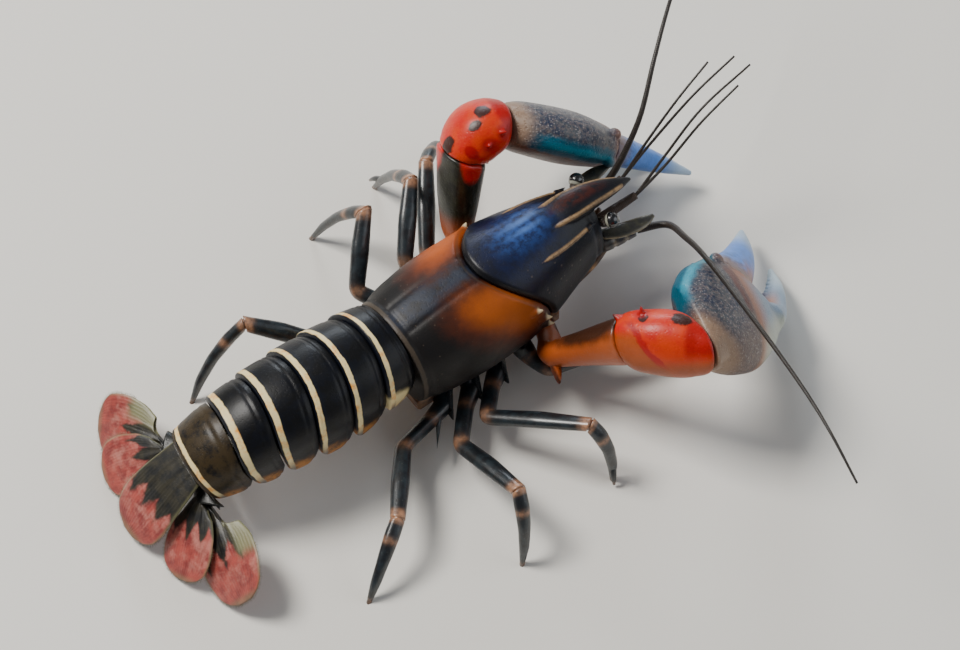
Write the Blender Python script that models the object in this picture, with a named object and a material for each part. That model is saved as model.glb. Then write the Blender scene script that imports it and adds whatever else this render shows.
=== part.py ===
"""Zebra crayfish: a still, life-size model of an adult male, standing with its claws held forward.

All sizes below are millimetres in the animal's own frame: x runs forward from the rear margin of
the carapace, y runs to the animal's left, and z runs up from the floor that it stands on. Each
sub-part is one closed solid, and neighbours keep a thin gap where they meet face to face.
"""

import math

import bmesh
import bpy
from mathutils import Matrix, Vector

MM = 0.001
GAP = 0.3
COLLECTION = "zebra_crayfish"

# Carapace: half-width, top, height of the widest line and bottom, each along x
CARAPACE_LENGTH = 44.0
CARAPACE_HALF_WIDTH = ((0, 10.0), (6, 11.4), (14, 12.1), (22, 11.8),
                       (29, 10.6), (36, 8.5), (41, 6.9), (44, 5.9))
CARAPACE_TOP = ((0, 25.6), (10, 27.6), (22, 28.6), (34, 28.4), (40, 27.4), (44, 26.2))
CARAPACE_WIDEST = ((0, 15.5), (25, 15.0), (44, 17.0))
CARAPACE_BOTTOM = ((0, 7.5), (22, 7.5), (28, 8.6), (36, 10.2), (44, 11.6))
CARAPACE_SIDES = 32
SHIELD_STATIONS = 9
UPPER_POWER = 2.2
LOWER_POWER = 2.6

# Neck groove: a U that opens forward, from its middle on the back to its ends on the flanks
GROOVE_MIDDLE = 17.8
GROOVE_END = 29.0
GROOVE_SPREAD = 100.0
GROOVE_DEPTH = 0.7
GROOVE_HALF_WIDTH = 1.2

# Rostrum and the ridges of the head; the rostrum's shape is its share of length, width and depth
ROSTRUM_ROOT = Vector((35.0, 0.0, 27.2))
ROSTRUM_TIP = Vector((54.5, 0.0, 23.2))
ROSTRUM_HALF_WIDTH = 3.3
ROSTRUM_HALF_DEPTH = 1.6
ROSTRUM_RISE = 1.9
ROSTRUM_SHAPE = ((0.0, 0.9, 0.8), (0.25, 1.0, 1.0), (0.5, 0.83, 0.95),
                 (0.7, 0.62, 0.8), (0.85, 0.4, 0.55), (1.0, 0.08, 0.12))
RIDGE_RADIUS = 0.55
CARINA_START = (29.0, 3.3)
SPINE_LENGTH = 2.2
POSTORBITAL_RIDGE = ((29.5, 6.3), (33.5, 6.1), (37.5, 5.5), (41.5, 4.6))
NECK_SPINES = ((70.0, 0.9), (84.0, 1.0), (97.0, 0.8))
NECK_SPINE_SETBACK = 2.6

# Breast plate between the legs
STERNUM_REAR = 0.6
STERNUM_FRONT = 33.0
STERNUM_HALF_WIDTH = 7.5
STERNUM_BOTTOM = 4.2
STERNUM_TOP = 7.1

# Abdomen: sizes by distance back from the carapace, along the body's own line. A ring's steps are
# its share of length, the share of the side flap's depth and how far the shell swells there
RING_ENDS = (6.8, 13.7, 20.6, 27.4, 34.0, 41.8)
ABDOMEN_HALF_WIDTH = ((0, 9.0), (7, 9.8), (14, 10.2), (21, 9.9), (28, 9.3), (34, 8.6), (41.8, 7.2))
ABDOMEN_DOME = ((0, 8.6), (14, 9.4), (27, 8.8), (34, 7.6), (41.8, 5.6))
PLEURON_DEPTH = ((0, 4.4), (7, 5.6), (14, 7.2), (27, 7.2), (34, 6.4), (41.8, 4.4))
ABDOMEN_START = Vector((-GAP, 0.6, 18.2))
ABDOMEN_PITCH = 27.0
ABDOMEN_PITCH_FROM = 16.0
ABDOMEN_YAW = 11.0
RING_STEPS = ((0.0, 0.60, -0.55), (0.18, 0.86, -0.15), (0.45, 1.0, 0.0),
              (0.78, 0.97, 0.1), (0.95, 0.78, 0.15), (1.0, 0.66, -0.05))
RING_HOLLOW = 1.7
RING_POWER = 2.1
PLEURON_OUTLINE = ((0.995, 0.40), (0.965, 0.80), (0.90, 1.0), (0.78, 0.88), (0.52, 0.62), (0.0, 0.50))
DOME_STEPS = 8
SWIMMERET_LENGTH = 6.5
SWIMMERET_SIZES = ((0.8, 0.55), (0.8, 0.5), (1.0, 0.45), (0.45, 0.3))
SWIMMERET_RINGS = (2, 3, 4, 5)

# Tail fan: blades in a plane that slopes down behind the last ring, each on its own level. A blade
# is its root and tip in that plane (outward, back), its half-width and its level
FAN_PITCH = 44.0
FAN_YAW = 3.0
FAN_RISE = 1.6
FAN_LEVEL = 1.45
BLADE_HALF_THICKNESS = 0.5
BLADE_POWER = 2.6
BLADE_PINK = (0.45, 0.14, 0.11)
BLADE_CROWN = 0.5
TELSON_LENGTH = 18.5
TELSON_HALF_WIDTH = 6.5
TELSON_CROWN = 1.0
TELSON_SHAPE = ((0.0, 0.78), (0.40, 0.94), (0.65, 1.0), (0.83, 0.92), (0.94, 0.66), (1.0, 0.30))
UROPOD_ROOT = (4.2, -1.9)
UROPOD_BASE_END = (7.2, 3.4)
UROPOD_BASE_SIZES = ((2.0, 1.0), (2.9, 1.5))
UROPOD_BASE_LEVEL = -1.75
INNER_BLADE = ((6.3, 3.8), (13.4, 17.0), 5.7, -1.2)
OUTER_BLADES = {
    "left": ((8.9, 3.8), (22.0, 12.3), 6.6, -2.35),
    "right": ((8.9, 3.8), (25.6, 9.8), 6.9, -2.35),
}
BLADE_SHAPE = ((0.0, 0.32), (0.16, 0.60), (0.40, 0.90), (0.65, 1.0), (0.83, 0.92), (0.94, 0.66), (1.0, 0.30))

# Head appendages, drawn for the left side
HEAD_FRONT = CARAPACE_LENGTH + GAP
EYE_STALK = ((HEAD_FRONT, 3.9, 22.4), (45.8, 5.0, 23.2))
EYE_RADIUS = 1.5
PEDUNCLE_ROOT = Vector((HEAD_FRONT, 3.9, 15.0))
PEDUNCLE_SIZES = ((2.0, 1.8), (1.9, 1.7), (1.5, 1.4), (1.15, 1.1))
SCALE_PATH = ((HEAD_FRONT, 4.6, 19.0), (47.2, 5.9, 19.0), (50.4, 6.6, 18.7),
              (53.2, 6.8, 18.3), (54.8, 6.6, 18.1))
SCALE_SIZES = ((1.0, 0.45), (1.5, 0.5), (1.5, 0.45), (1.1, 0.4), (0.4, 0.3))
ANTENNULE_ROOT = Vector((HEAD_FRONT, 1.7, 18.8))
ANTENNULE_SIZES = ((1.05, 1.0), (0.95, 0.9), (0.75, 0.7))
MAXILLIPED_PATH = ((STERNUM_FRONT + GAP, 2.7, 5.7), (38.0, 3.0, 6.2), (43.5, 3.0, 8.2),
                   (47.5, 2.6, 11.2), (49.4, 2.3, 14.0))
MAXILLIPED_SIZES = ((1.8, 1.1), (1.7, 1.2), (1.4, 1.1), (1.1, 0.9), (0.4, 0.35))
FEELER_RADIUS = 0.75
FEELER_TIP_RADIUS = 0.22
BRANCH_RADIUS = 0.36
BRANCH_TIP_RADIUS = 0.2

# Long feelers: the peduncle's end, then the points that the feeler passes
FEELERS = {
    "right": ((51.6, -5.6, 14.8), ((56.5, -8.6, 15.8), (56.0, -14.4, 19.6), (54.0, -23.2, 25.4),
                                   (49.8, -42.6, 33.0), (47.0, -58.6, 36.0), (45.0, -68.9, 36.5),
                                   (43.4, -78.4, 34.0))),
    "left": ((50.2, 4.1, 16.9), ((53.0, 3.9, 19.6), (56.2, 4.2, 24.0), (61.6, 6.3, 30.0), (68.8, 11.8, 35.0),
                                 (77.8, 18.7, 38.0), (89.0, 26.8, 38.5), (99.0, 33.5, 36.5))),
}
ANTENNULES = {
    "right": ((54.0, -2.3, 20.3), (((60.4, -2.7, 25.0), (68.5, -2.5, 31.5), (77.2, -2.2, 35.6)),
                                   ((61.0, -1.6, 26.0), (70.0, -0.8, 32.8), (81.3, -0.4, 36.5)))),
    "left": ((54.0, 1.9, 20.6), (((60.0, 2.5, 26.6), (67.5, 3.4, 32.6), (75.5, 4.6, 36.6)),
                                 ((60.6, 1.8, 26.8), (69.8, 1.6, 34.4), (79.4, 1.9, 38.2)))),
}

# Claws: joints from the breast plate to the wrist, the hand's axis and the way its finger opens;
# the hand's margins and depths are read along its axis, from the wrist to the finger tips
CLAWS = {
    "right": {
        "joints": ((29.0, -7.8, 6.1), (27.9, -11.2, 7.0), (24.4, -15.0, 10.4),
                   (27.8, -20.2, 16.4), (32.6, -27.2, 24.2)),
        "elbow": ((36.6, -32.6, 26.7), (41.1, -37.6, 27.6)),
        "axis": (0.7075, 0.515, -0.482),
        "spread": (-0.25, 0.82, 0.51),
        "merus": ((2.5, 1.8), (2.3, 1.9), (2.3, 2.2), (3.1, 2.7), (4.6, 3.9)),
        "size": 1.0,
        "wrist_size": 1.0,
        "fixed_reach": 0.92,
    },
    "left": {
        "joints": ((29.0, 7.8, 6.1), (28.4, 11.6, 6.9), (26.8, 16.0, 9.8),
                   (29.2, 18.6, 17.4), (32.0, 21.3, 26.2)),
        "elbow": ((36.2, 21.9, 29.0), (40.8, 20.4, 28.6)),
        "axis": (0.752, -0.377, -0.542),
        "spread": (0.108, -0.736, 0.668),
        "merus": ((2.5, 1.8), (2.5, 1.9), (3.1, 2.5), (4.3, 3.5), (5.1, 4.1)),
        "size": 0.94,
        "wrist_size": 1.05,
        "fixed_reach": 1.0,
    },
}
CARPUS_SIZES = ((5.5, 4.5), (5.9, 4.9), (6.2, 5.2), (6.1, 5.1), (5.6, 4.6))
CARPUS_SPINE = (5.2, 1.0, 3.4)
CARPUS_SPUR = (5.1, 1.15, 2.4)
JOINT_ROUNDING = 0.84
JOINT_LIP = 0.6
RING_CLEARANCE = 0.15
HAND_LENGTH = 43.5
HAND_ARCH = 2.4
HAND_POWER = 2.15
FINGER_ROOT = 23.4
PALM_STATIONS = (3, 6, 10, 14, 18, 21, FINGER_ROOT - 0.4)
FIXED_STATIONS = (FINGER_ROOT, 26, 29, 32, 35, 38, 40.5, 42.5, HAND_LENGTH)
DACTYL_STATIONS = (FINGER_ROOT + GAP, 26, 29, 32, 35, 38, 41, 43.5, 45)
HAND_OUTER = ((0, -5.0), (4, -9.4), (10, -12.3), (18, -13.2), (27, -13.2), (34, -12.2),
              (40, -10.2), (HAND_LENGTH, -7.7))
HAND_INNER = ((0, 4.4), (4, 7.8), (9, 9.5), (14, 9.6), (20, 7.9), (FINGER_ROOT, 6.7))
FIXED_EDGE = ((FINGER_ROOT, -5.8), (27, -7.3), (32, -8.0), (38, -8.0), (HAND_LENGTH, -7.0))
HAND_HALF_DEPTH = ((0, 4.2), (5, 5.1), (14, 5.4), (FINGER_ROOT, 4.4), (30, 3.0),
                   (38, 1.9), (HAND_LENGTH, 0.5))
DACTYL_OUTER = ((FINGER_ROOT, 6.0), (28, 4.7), (33, 3.2), (38, 2.3), (42, 1.8), (45, 1.4))
DACTYL_INNER = ((FINGER_ROOT, -4.6), (27, -4.5), (32, -4.2), (38, -3.2), (42, -1.7), (45, 0.6))
DACTYL_HALF_DEPTH = ((FINGER_ROOT, 3.5), (30, 2.9), (38, 1.9), (45, 0.5))

# Walking legs: coxa along x, then knee points and the toe on the floor
LEG_ROOT_HEIGHT = 5.6
LEGS = {
    "right_2": (23.3, ((23.4, -11.0, 5.0), (24.6, -15.0, 4.9), (37.0, -21.0, 9.0), (46.0, -24.0, 0.0))),
    "right_3": (17.5, ((13.6, -12.2, 6.0), (8.5, -17.5, 8.0), (20.0, -33.0, 15.0), (21.6, -38.0, 0.0))),
    "right_4": (11.6, ((7.4, -12.6, 6.0), (1.5, -19.0, 7.5), (2.0, -35.5, 14.0), (-2.0, -42.0, 0.0))),
    "right_5": (5.8, ((0.4, -11.2, 6.4), (-7.4, -13.6, 8.6), (-17.5, -25.5, 10.0), (-28.5, -31.5, 0.0))),
    "left_2": (23.3, ((22.6, 11.6, 5.2), (21.0, 17.5, 6.0), (31.0, 31.0, 11.0), (39.0, 37.0, 0.0))),
    "left_3": (17.5, ((16.4, 11.6, 7.4), (14.7, 15.7, 12.0), (23.8, 26.0, 18.0), (24.0, 38.0, 0.0))),
    "left_4": (11.6, ((8.8, 12.0, 6.6), (5.0, 17.5, 9.0), (13.5, 26.5, 16.5), (8.0, 36.0, 0.0))),
    "left_5": (5.8, ((0.4, 11.0, 6.6), (-7.0, 13.2, 9.0), (-17.5, 21.0, 15.5), (-30.0, 21.0, 0.0))),
}
COXA_LENGTH = 1.8
LEG_UPPER_SIZES = ((2.1, 1.5), (2.0, 1.5), (1.55, 1.35), (1.5, 1.3), (1.75, 1.25), (1.4, 1.1))
LEG_LOWER_SHAPE = ((0.0, 1.35, 1.05), (0.22, 1.45, 1.1), (0.5, 1.2, 0.95),
                   (0.76, 1.0, 0.8), (1.0, 0.42, 0.42))
LEG_WRIST = 0.22
LEG_BOW = 1.4
PINCER_LEGS = ("right_2", "right_3", "left_2", "left_3")
PINCER_SIZES = ((0.7, 0.6), (0.6, 0.5), (0.28, 0.25))
PINCER_SPREAD = 1.5


def unit(vector):
    """The direction of a vector."""
    return vector.normalized()


def read(knots, x):
    """Read a smooth curve through (x, value) knots, without overshoot between them."""
    if x <= knots[0][0]:
        return knots[0][1]
    if x >= knots[-1][0]:
        return knots[-1][1]
    slopes = [(b[1] - a[1]) / (b[0] - a[0]) for a, b in zip(knots, knots[1:])]
    tangents = [slopes[0]]
    for before, after in zip(slopes, slopes[1:]):
        tangents.append(0.0 if before * after <= 0 else 2 * before * after / (before + after))
    tangents.append(slopes[-1])
    index = max(i for i in range(len(knots) - 1) if knots[i][0] <= x)
    span = knots[index + 1][0] - knots[index][0]
    t = (x - knots[index][0]) / span
    start, end = knots[index][1], knots[index + 1][1]
    return (start * (1 + 2 * t) * (1 - t) ** 2 + end * t * t * (3 - 2 * t)
            + span * (tangents[index] * t * (1 - t) ** 2 - tangents[index + 1] * t * t * (1 - t)))


def ease(t):
    """Go from 0 to 1 with level ends."""
    t = min(max(t, 0.0), 1.0)
    return t * t * (3 - 2 * t)


def signed_power(value, power):
    """Raise a value to a power and keep its sign."""
    return math.copysign(abs(value) ** power, value)


def material(name, colour, roughness=0.35, coat=0.3):
    """A shell finish in the part's colour."""
    made = bpy.data.materials.new(name)
    made.use_nodes = True
    shader = made.node_tree.nodes["Principled BSDF"]
    shader.inputs["Base Color"].default_value = (*colour, 1.0)
    shader.inputs["Roughness"].default_value = roughness
    shader.inputs["Metallic"].default_value = 0.0
    shader.inputs["Coat Weight"].default_value = coat
    return made


def place(name, mesh, colour):
    """Make an object of a mesh given in millimetres, hang it on the root and give it its finish."""
    mesh.transform(Matrix.Scale(MM, 4))
    part = bpy.data.objects.new(name, mesh)
    bpy.data.collections[COLLECTION].objects.link(part)
    part.parent = bpy.data.objects[COLLECTION]
    mesh.materials.append(material(name, colour))
    mesh.shade_smooth()
    mesh.set_sharp_from_angle(angle=math.radians(40))
    return part


def loft(name, rings):
    """A closed mesh through rings of equal count, each end closed by a fan round its middle."""
    shape = bmesh.new()
    rows = [[shape.verts.new(point) for point in ring] for ring in rings]
    count = len(rows[0])
    for row, following in zip(rows, rows[1:]):
        for j in range(count):
            k = (j + 1) % count
            shape.faces.new((row[j], row[k], following[k]))
            shape.faces.new((row[j], following[k], following[j]))
    for row in (rows[0], rows[-1]):
        middle = shape.verts.new(sum((vert.co for vert in row), Vector()) / count)
        for j in range(count):
            shape.faces.new((row[j], row[(j + 1) % count], middle))
    bmesh.ops.recalc_face_normals(shape, faces=shape.faces)
    if shape.calc_volume(signed=True) < 0:
        bmesh.ops.reverse_faces(shape, faces=shape.faces)
    mesh = bpy.data.meshes.new(name)
    shape.to_mesh(mesh)
    shape.free()
    return mesh


def section(centre, along, wide, half_width, half_depth, sides, power=2.0, face=None):
    """A ring round a centre: a rounded oval across 'along', sheared into a given face if there is one."""
    across = unit(wide - along * wide.dot(along))
    deep = along.cross(across)
    ring = []
    for j in range(sides):
        angle = math.tau * (j + 0.5) / sides
        point = (centre + across * half_width * signed_power(math.cos(angle), 2 / power)
                 + deep * half_depth * signed_power(math.sin(angle), 2 / power))
        if face is not None:
            point -= along * (point - centre).dot(face) / along.dot(face)
        ring.append(point)
    return ring


def limb_rings(path, sizes, wide, sides=10, power=2.0, start_face=None, end_face=None):
    """Rings along a path of points, each across the path or, at the ends, in the faces given."""
    legs = [unit(b - a) for a, b in zip(path, path[1:])]
    rings = []
    for i, (centre, (half_width, half_depth)) in enumerate(zip(path, sizes)):
        along = unit(legs[max(i - 1, 0)] + legs[min(i, len(legs) - 1)])
        face = start_face if i == 0 else end_face if i == len(path) - 1 else None
        rings.append(section(centre, along, wide, half_width, half_depth, sides, power, face))
    return rings


def cone(root, direction, radius, length, sides=7):
    """A spine: a slim cone with its root at a point and its tip along a direction."""
    shape = bmesh.new()
    turn = direction.to_track_quat("Z", "Y").to_matrix().to_4x4()
    middle = root + unit(direction) * length / 2
    bmesh.ops.create_cone(shape, cap_ends=True, cap_tris=True, segments=sides, radius1=radius,
                          radius2=0.12 * radius, depth=length, matrix=Matrix.Translation(middle) @ turn)
    bmesh.ops.triangulate(shape, faces=shape.faces)
    mesh = bpy.data.meshes.new("spine")
    shape.to_mesh(mesh)
    shape.free()
    return mesh


def keep_largest(mesh):
    """Delete every closed surface of a mesh but the largest."""
    shape = bmesh.new()
    shape.from_mesh(mesh)
    shape.verts.ensure_lookup_table()
    loose = set(shape.verts)
    islands = []
    while loose:
        front = [loose.pop()]
        island = set(front)
        while front:
            vert = front.pop()
            for edge in vert.link_edges:
                other = edge.other_vert(vert)
                if other in loose:
                    loose.discard(other)
                    island.add(other)
                    front.append(other)
        islands.append(island)
    islands.sort(key=len)
    scraps = [vert for island in islands[:-1] for vert in island]
    bmesh.ops.delete(shape, geom=scraps, context="VERTS")
    bmesh.ops.triangulate(shape, faces=shape.faces)
    shape.to_mesh(mesh)
    shape.free()


def fuse(name, meshes):
    """Join closed meshes that sink into the first one by one Boolean union, and return the result."""
    pool = bpy.data.collections.new("to_join")
    bpy.context.scene.collection.children.link(pool)
    base = bpy.data.objects.new(name, meshes[0])
    bpy.context.scene.collection.objects.link(base)
    for mesh in meshes[1:]:
        pool.objects.link(bpy.data.objects.new("joined", mesh))
    union = base.modifiers.new("union", "BOOLEAN")
    union.operation = "UNION"
    union.operand_type = "COLLECTION"
    union.collection = pool
    union.solver = "EXACT"
    view = bpy.context.evaluated_depsgraph_get()
    joined = bpy.data.meshes.new_from_object(base.evaluated_get(view))
    for item in list(pool.objects) + [base]:
        bpy.data.objects.remove(item)
    bpy.data.collections.remove(pool)
    keep_largest(joined)
    joined.name = name
    return joined


def carapace_point(x, angle, inset=0.0):
    """A point on the carapace at a station and an angle from the middle of the back, in degrees."""
    turn = math.radians(angle)
    power = UPPER_POWER if math.cos(turn) > 0 else LOWER_POWER
    half = read(CARAPACE_HALF_WIDTH, x) - inset
    widest = read(CARAPACE_WIDEST, x)
    reach = read(CARAPACE_TOP, x) - widest if math.cos(turn) > 0 else widest - read(CARAPACE_BOTTOM, x)
    return Vector((x, half * signed_power(math.sin(turn), 2 / power),
                   widest + (reach - inset) * signed_power(math.cos(turn), 2 / power)))


def carapace_top_at(x, y):
    """The point on the back of the carapace above a place."""
    half = read(CARAPACE_HALF_WIDTH, x)
    widest = read(CARAPACE_WIDEST, x)
    rise = (1 - abs(y / half) ** UPPER_POWER) ** (1 / UPPER_POWER)
    return Vector((x, y, widest + (read(CARAPACE_TOP, x) - widest) * rise))


def groove_x(angle):
    """Where the neck groove lies at an angle from the middle of the back."""
    away = abs((angle + 180) % 360 - 180)
    return GROOVE_MIDDLE + (GROOVE_END - GROOVE_MIDDLE) * ease(away / GROOVE_SPREAD)


def carapace_angles():
    """The angles of the points round a carapace ring."""
    return [360.0 * j / CARAPACE_SIDES for j in range(CARAPACE_SIDES)]


def make_thorax():
    """The rear shield, from the carapace's rear margin to the neck groove, with the neck spines."""
    rings = []
    for i in range(SHIELD_STATIONS):
        share = i / (SHIELD_STATIONS - 1)
        rings.append([])
        for a in carapace_angles():
            rings[-1].append(carapace_point((groove_x(a) - GROOVE_HALF_WIDTH) * share, a))
    rings.append([carapace_point(groove_x(a) - GAP / 2, a, GROOVE_DEPTH) for a in carapace_angles()])
    pieces = [loft("carapace_thorax", rings)]
    for side in (1, -1):
        for angle, radius in NECK_SPINES:
            foot = carapace_point(groove_x(angle) - NECK_SPINE_SETBACK, side * angle, GROOVE_DEPTH)
            outward = Vector((1.4, foot.y / 12, (foot.z - 15) / 12))
            pieces.append(cone(foot, outward, radius, SPINE_LENGTH))
    place("carapace_thorax", fuse("carapace_thorax", pieces), (0.05, 0.04, 0.035))


def make_head():
    """The head shield with its rostrum, the rostral and postorbital ridges and their spines."""
    rings = [[carapace_point(groove_x(a) + GAP / 2, a, GROOVE_DEPTH) for a in carapace_angles()]]
    for i in range(SHIELD_STATIONS):
        rings.append([])
        for a in carapace_angles():
            start = groove_x(a) + GROOVE_HALF_WIDTH
            x = start + (CARAPACE_LENGTH - start) * i / (SHIELD_STATIONS - 1)
            rings[-1].append(carapace_point(x, a))
    pieces = [loft("carapace_head", rings)]

    path = []
    sizes = []
    for t, width, depth in ROSTRUM_SHAPE:
        rise = ROSTRUM_RISE * math.sin(math.pi * t) * (1 - 0.4 * t) - RIDGE_RADIUS
        path.append(ROSTRUM_ROOT.lerp(ROSTRUM_TIP, t) + Vector((0, 0, rise)))
        sizes.append((ROSTRUM_HALF_WIDTH * width, ROSTRUM_HALF_DEPTH * depth))
    pieces.append(loft("rostrum", limb_rings(path, sizes, Vector((0, 1, 0)), 12, 2.4)))

    for side in (1, -1):
        edge = [centre + Vector((0, side * half * 0.82, depth * 0.5))
                for centre, (half, depth) in zip(path[:-1], sizes[:-1])]
        start_x, start_y = CARINA_START
        edge.insert(0, carapace_top_at(start_x, side * start_y) - Vector((0, 0, 0.35)))
        edge[1] = carapace_top_at(edge[1].x, edge[1].y) - Vector((0, 0, 0.1))
        full = (RIDGE_RADIUS, RIDGE_RADIUS)
        fine = (RIDGE_RADIUS / 2, RIDGE_RADIUS / 2)
        thick = [fine] + [full] * (len(edge) - 2) + [fine]
        pieces.append(loft("carina", limb_rings(edge, thick, Vector((0, 1, 0)), 8)))
        ridge = [carapace_top_at(x, side * y) for x, y in POSTORBITAL_RIDGE]
        thick = [fine] + [full] * (len(ridge) - 1)
        pieces.append(loft("ridge", limb_rings(ridge, thick, Vector((0, 1, 0)), 8)))
        spine_root = ridge[-1] - Vector((RIDGE_RADIUS, 0, 0.1))
        pieces.append(cone(spine_root, Vector((1, 0, 0.1)), 0.7, SPINE_LENGTH))
    place("carapace_head", fuse("carapace_head", pieces), (0.02, 0.04, 0.10))


def make_sternum():
    """The breast plate that the legs grow from, a bevelled slab."""
    shape = bmesh.new()
    middle = Vector(((STERNUM_REAR + STERNUM_FRONT) / 2, 0, (STERNUM_BOTTOM + STERNUM_TOP) / 2))
    size = Vector((STERNUM_FRONT - STERNUM_REAR, 2 * STERNUM_HALF_WIDTH, STERNUM_TOP - STERNUM_BOTTOM))
    bmesh.ops.create_cube(shape, size=1.0, matrix=Matrix.Translation(middle) @ Matrix.Diagonal((*size, 1)))
    bmesh.ops.bevel(shape, geom=shape.edges, offset=0.4, segments=1, affect="EDGES")
    bmesh.ops.triangulate(shape, faces=shape.faces)
    mesh = bpy.data.meshes.new("sternum")
    shape.to_mesh(mesh)
    shape.free()
    place("sternum", mesh, (0.35, 0.25, 0.16))


def abdomen_frame(distance):
    """Centre and directions back, left and up of the abdomen at a distance behind the carapace."""
    steps = 40
    centre = ABDOMEN_START.copy()
    for i in range(steps + 1):
        s = distance * i / steps
        bend = ease((s - ABDOMEN_PITCH_FROM) / (RING_ENDS[-1] - ABDOMEN_PITCH_FROM))
        pitch = math.radians(ABDOMEN_PITCH * bend)
        yaw = math.radians(ABDOMEN_YAW * ease(s / RING_ENDS[-1]))
        back = Vector((-math.cos(pitch) * math.cos(yaw), math.cos(pitch) * math.sin(yaw), -math.sin(pitch)))
        if i < steps:
            centre += back * distance / steps
    left = unit(Vector((0, 0, 1)).cross(-back))
    return centre, back, left, left.cross(back)


def abdomen_ring(distance, scallop, raise_by):
    """The outline of the abdomen: a dome, side flaps whose depth follows a scallop, a raised belly."""
    centre, back, left, up = abdomen_frame(distance)
    half = read(ABDOMEN_HALF_WIDTH, distance) + raise_by
    dome = read(ABDOMEN_DOME, distance) + raise_by
    depth = read(PLEURON_DEPTH, distance) * scallop
    belly = read(PLEURON_DEPTH, distance) * PLEURON_OUTLINE[-1][1]
    outline = []
    for j in range(DOME_STEPS + 1):
        angle = math.pi / 2 * j / DOME_STEPS
        out, high = math.sin(angle) ** (2 / RING_POWER), math.cos(angle) ** (2 / RING_POWER)
        outline.append((half * out, dome * high))
    for out, down in PLEURON_OUTLINE:
        flap = ease((out - 0.5) * 4)
        outline.append((half * out, -(depth * flap + belly * 2 * (1 - flap)) * down))
    hollow = RING_HOLLOW * ease(distance / RING_ENDS[0]) * (1 - ease((distance - RING_ENDS[-2]) / 6))
    ring = []
    for sign, points in ((1, outline), (-1, outline[-2:0:-1])):
        for side, high in points:
            forward = back * hollow * max(high / dome, 0.0) ** 2
            ring.append(centre + left * side * sign + up * high - forward)
    return ring


def make_abdomen():
    """Six rings, each swelling to its rear margin, with rounded side flaps and paired swimmerets."""
    start = 0.0
    for number, end in enumerate(RING_ENDS, 1):
        length = end - start - GAP
        first = start + (0.0 if number == 1 else GAP / 2)
        last = end - GAP / 2
        rings = [abdomen_ring(first + (last - first) * t, scallop, rise) for t, scallop, rise in RING_STEPS]
        name = f"abdomen_{number}"
        pieces = [loft(name, rings)]
        if number in SWIMMERET_RINGS:
            pieces += swimmerets(first + length * 0.45)
        mesh = fuse(name, pieces) if len(pieces) > 1 else pieces[0]
        place(name, mesh, (0.012, 0.012, 0.016))
        start = end


def swimmerets(distance):
    """A pair of small flat paddles that hang from the belly and lean back."""
    centre, back, left, up = abdomen_frame(distance)
    belly = read(PLEURON_DEPTH, distance) * PLEURON_OUTLINE[-1][1]
    pair = []
    for side in (1, -1):
        root = centre + left * side * 3.6 - up * (belly - 1.2)
        tip = root - up * SWIMMERET_LENGTH * 0.62 + back * SWIMMERET_LENGTH * 0.45 + left * side * 0.8
        path = [root, root.lerp(tip, 0.4), root.lerp(tip, 0.75), tip]
        pair.append(loft("swimmeret", limb_rings(path, SWIMMERET_SIZES, left, 8)))
    return pair


def smooth_path(points, steps):
    """Points along a smooth curve through the given ones, a few to each stretch."""
    points = [Vector(p) for p in points]
    ends = [points[0] * 2 - points[1]] + points + [points[-1] * 2 - points[-2]]
    path = [points[0]]
    for a, b, c, d in zip(ends, ends[1:], ends[2:], ends[3:]):
        for i in range(1, steps + 1):
            t = i / steps
            path.append(((b * 2) + (c - a) * t + (a * 2 - b * 5 + c * 4 - d) * t * t
                         + (b * 3 - a - c * 3 + d) * t * t * t) / 2)
    return path


def feeler(name, points, radius, tip_radius, steps=3):
    """A tapered feeler: a curve with a round bevel and filled caps, as a mesh."""
    path = smooth_path(points, steps)
    curve = bpy.data.curves.new(name, "CURVE")
    curve.dimensions = "3D"
    curve.bevel_depth = radius * MM
    curve.bevel_resolution = 1
    curve.use_fill_caps = True
    spline = curve.splines.new("POLY")
    spline.points.add(len(path) - 1)
    for i, (item, place_at) in enumerate(zip(spline.points, path)):
        item.co = (*(place_at * MM), 1.0)
        item.radius = 1 + (tip_radius / radius - 1) * i / (len(path) - 1)
    holder = bpy.data.objects.new(name, curve)
    bpy.context.scene.collection.objects.link(holder)
    view = bpy.context.evaluated_depsgraph_get()
    mesh = bpy.data.meshes.new_from_object(holder.evaluated_get(view))
    bpy.data.objects.remove(holder)
    shape = bmesh.new()
    shape.from_mesh(mesh)
    bmesh.ops.remove_doubles(shape, verts=shape.verts, dist=1e-6)
    bmesh.ops.recalc_face_normals(shape, faces=shape.faces)
    bmesh.ops.triangulate(shape, faces=shape.faces)
    shape.to_mesh(mesh)
    shape.free()
    mesh.materials.clear()
    mesh.transform(Matrix.Scale(1 / MM, 4))
    return mesh


def fan_frame():
    """Origin and directions left, back and up of the tail fan's plane."""
    centre, back, left, up = abdomen_frame(RING_ENDS[-1])
    yaw = math.radians(FAN_YAW)
    pitch = math.radians(FAN_PITCH)
    along = Vector((-math.cos(pitch) * math.cos(yaw), math.cos(pitch) * math.sin(yaw), -math.sin(pitch)))
    side = unit(Vector((0, 0, 1)).cross(-along))
    return centre + up * FAN_RISE, side, along, side.cross(along)


def blade(name, sign, root, tip, half_width, level):
    """A blade of the tail fan on the side with this sign, flat between two places in the fan's plane."""
    origin, side, along, up = fan_frame()
    path = []
    sizes = []
    for t, width in BLADE_SHAPE:
        out = (root[0] + (tip[0] - root[0]) * t) * sign
        down = root[1] + (tip[1] - root[1]) * t
        lift = level * FAN_LEVEL + BLADE_CROWN * math.sin(math.pi * t)
        path.append(origin + side * out + along * down + up * lift)
        sizes.append((half_width * width, BLADE_HALF_THICKNESS * (1.15 - 0.5 * t)))
    place(name, loft(name, limb_rings(path, sizes, side, 16, BLADE_POWER, start_face=along)), BLADE_PINK)


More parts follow.
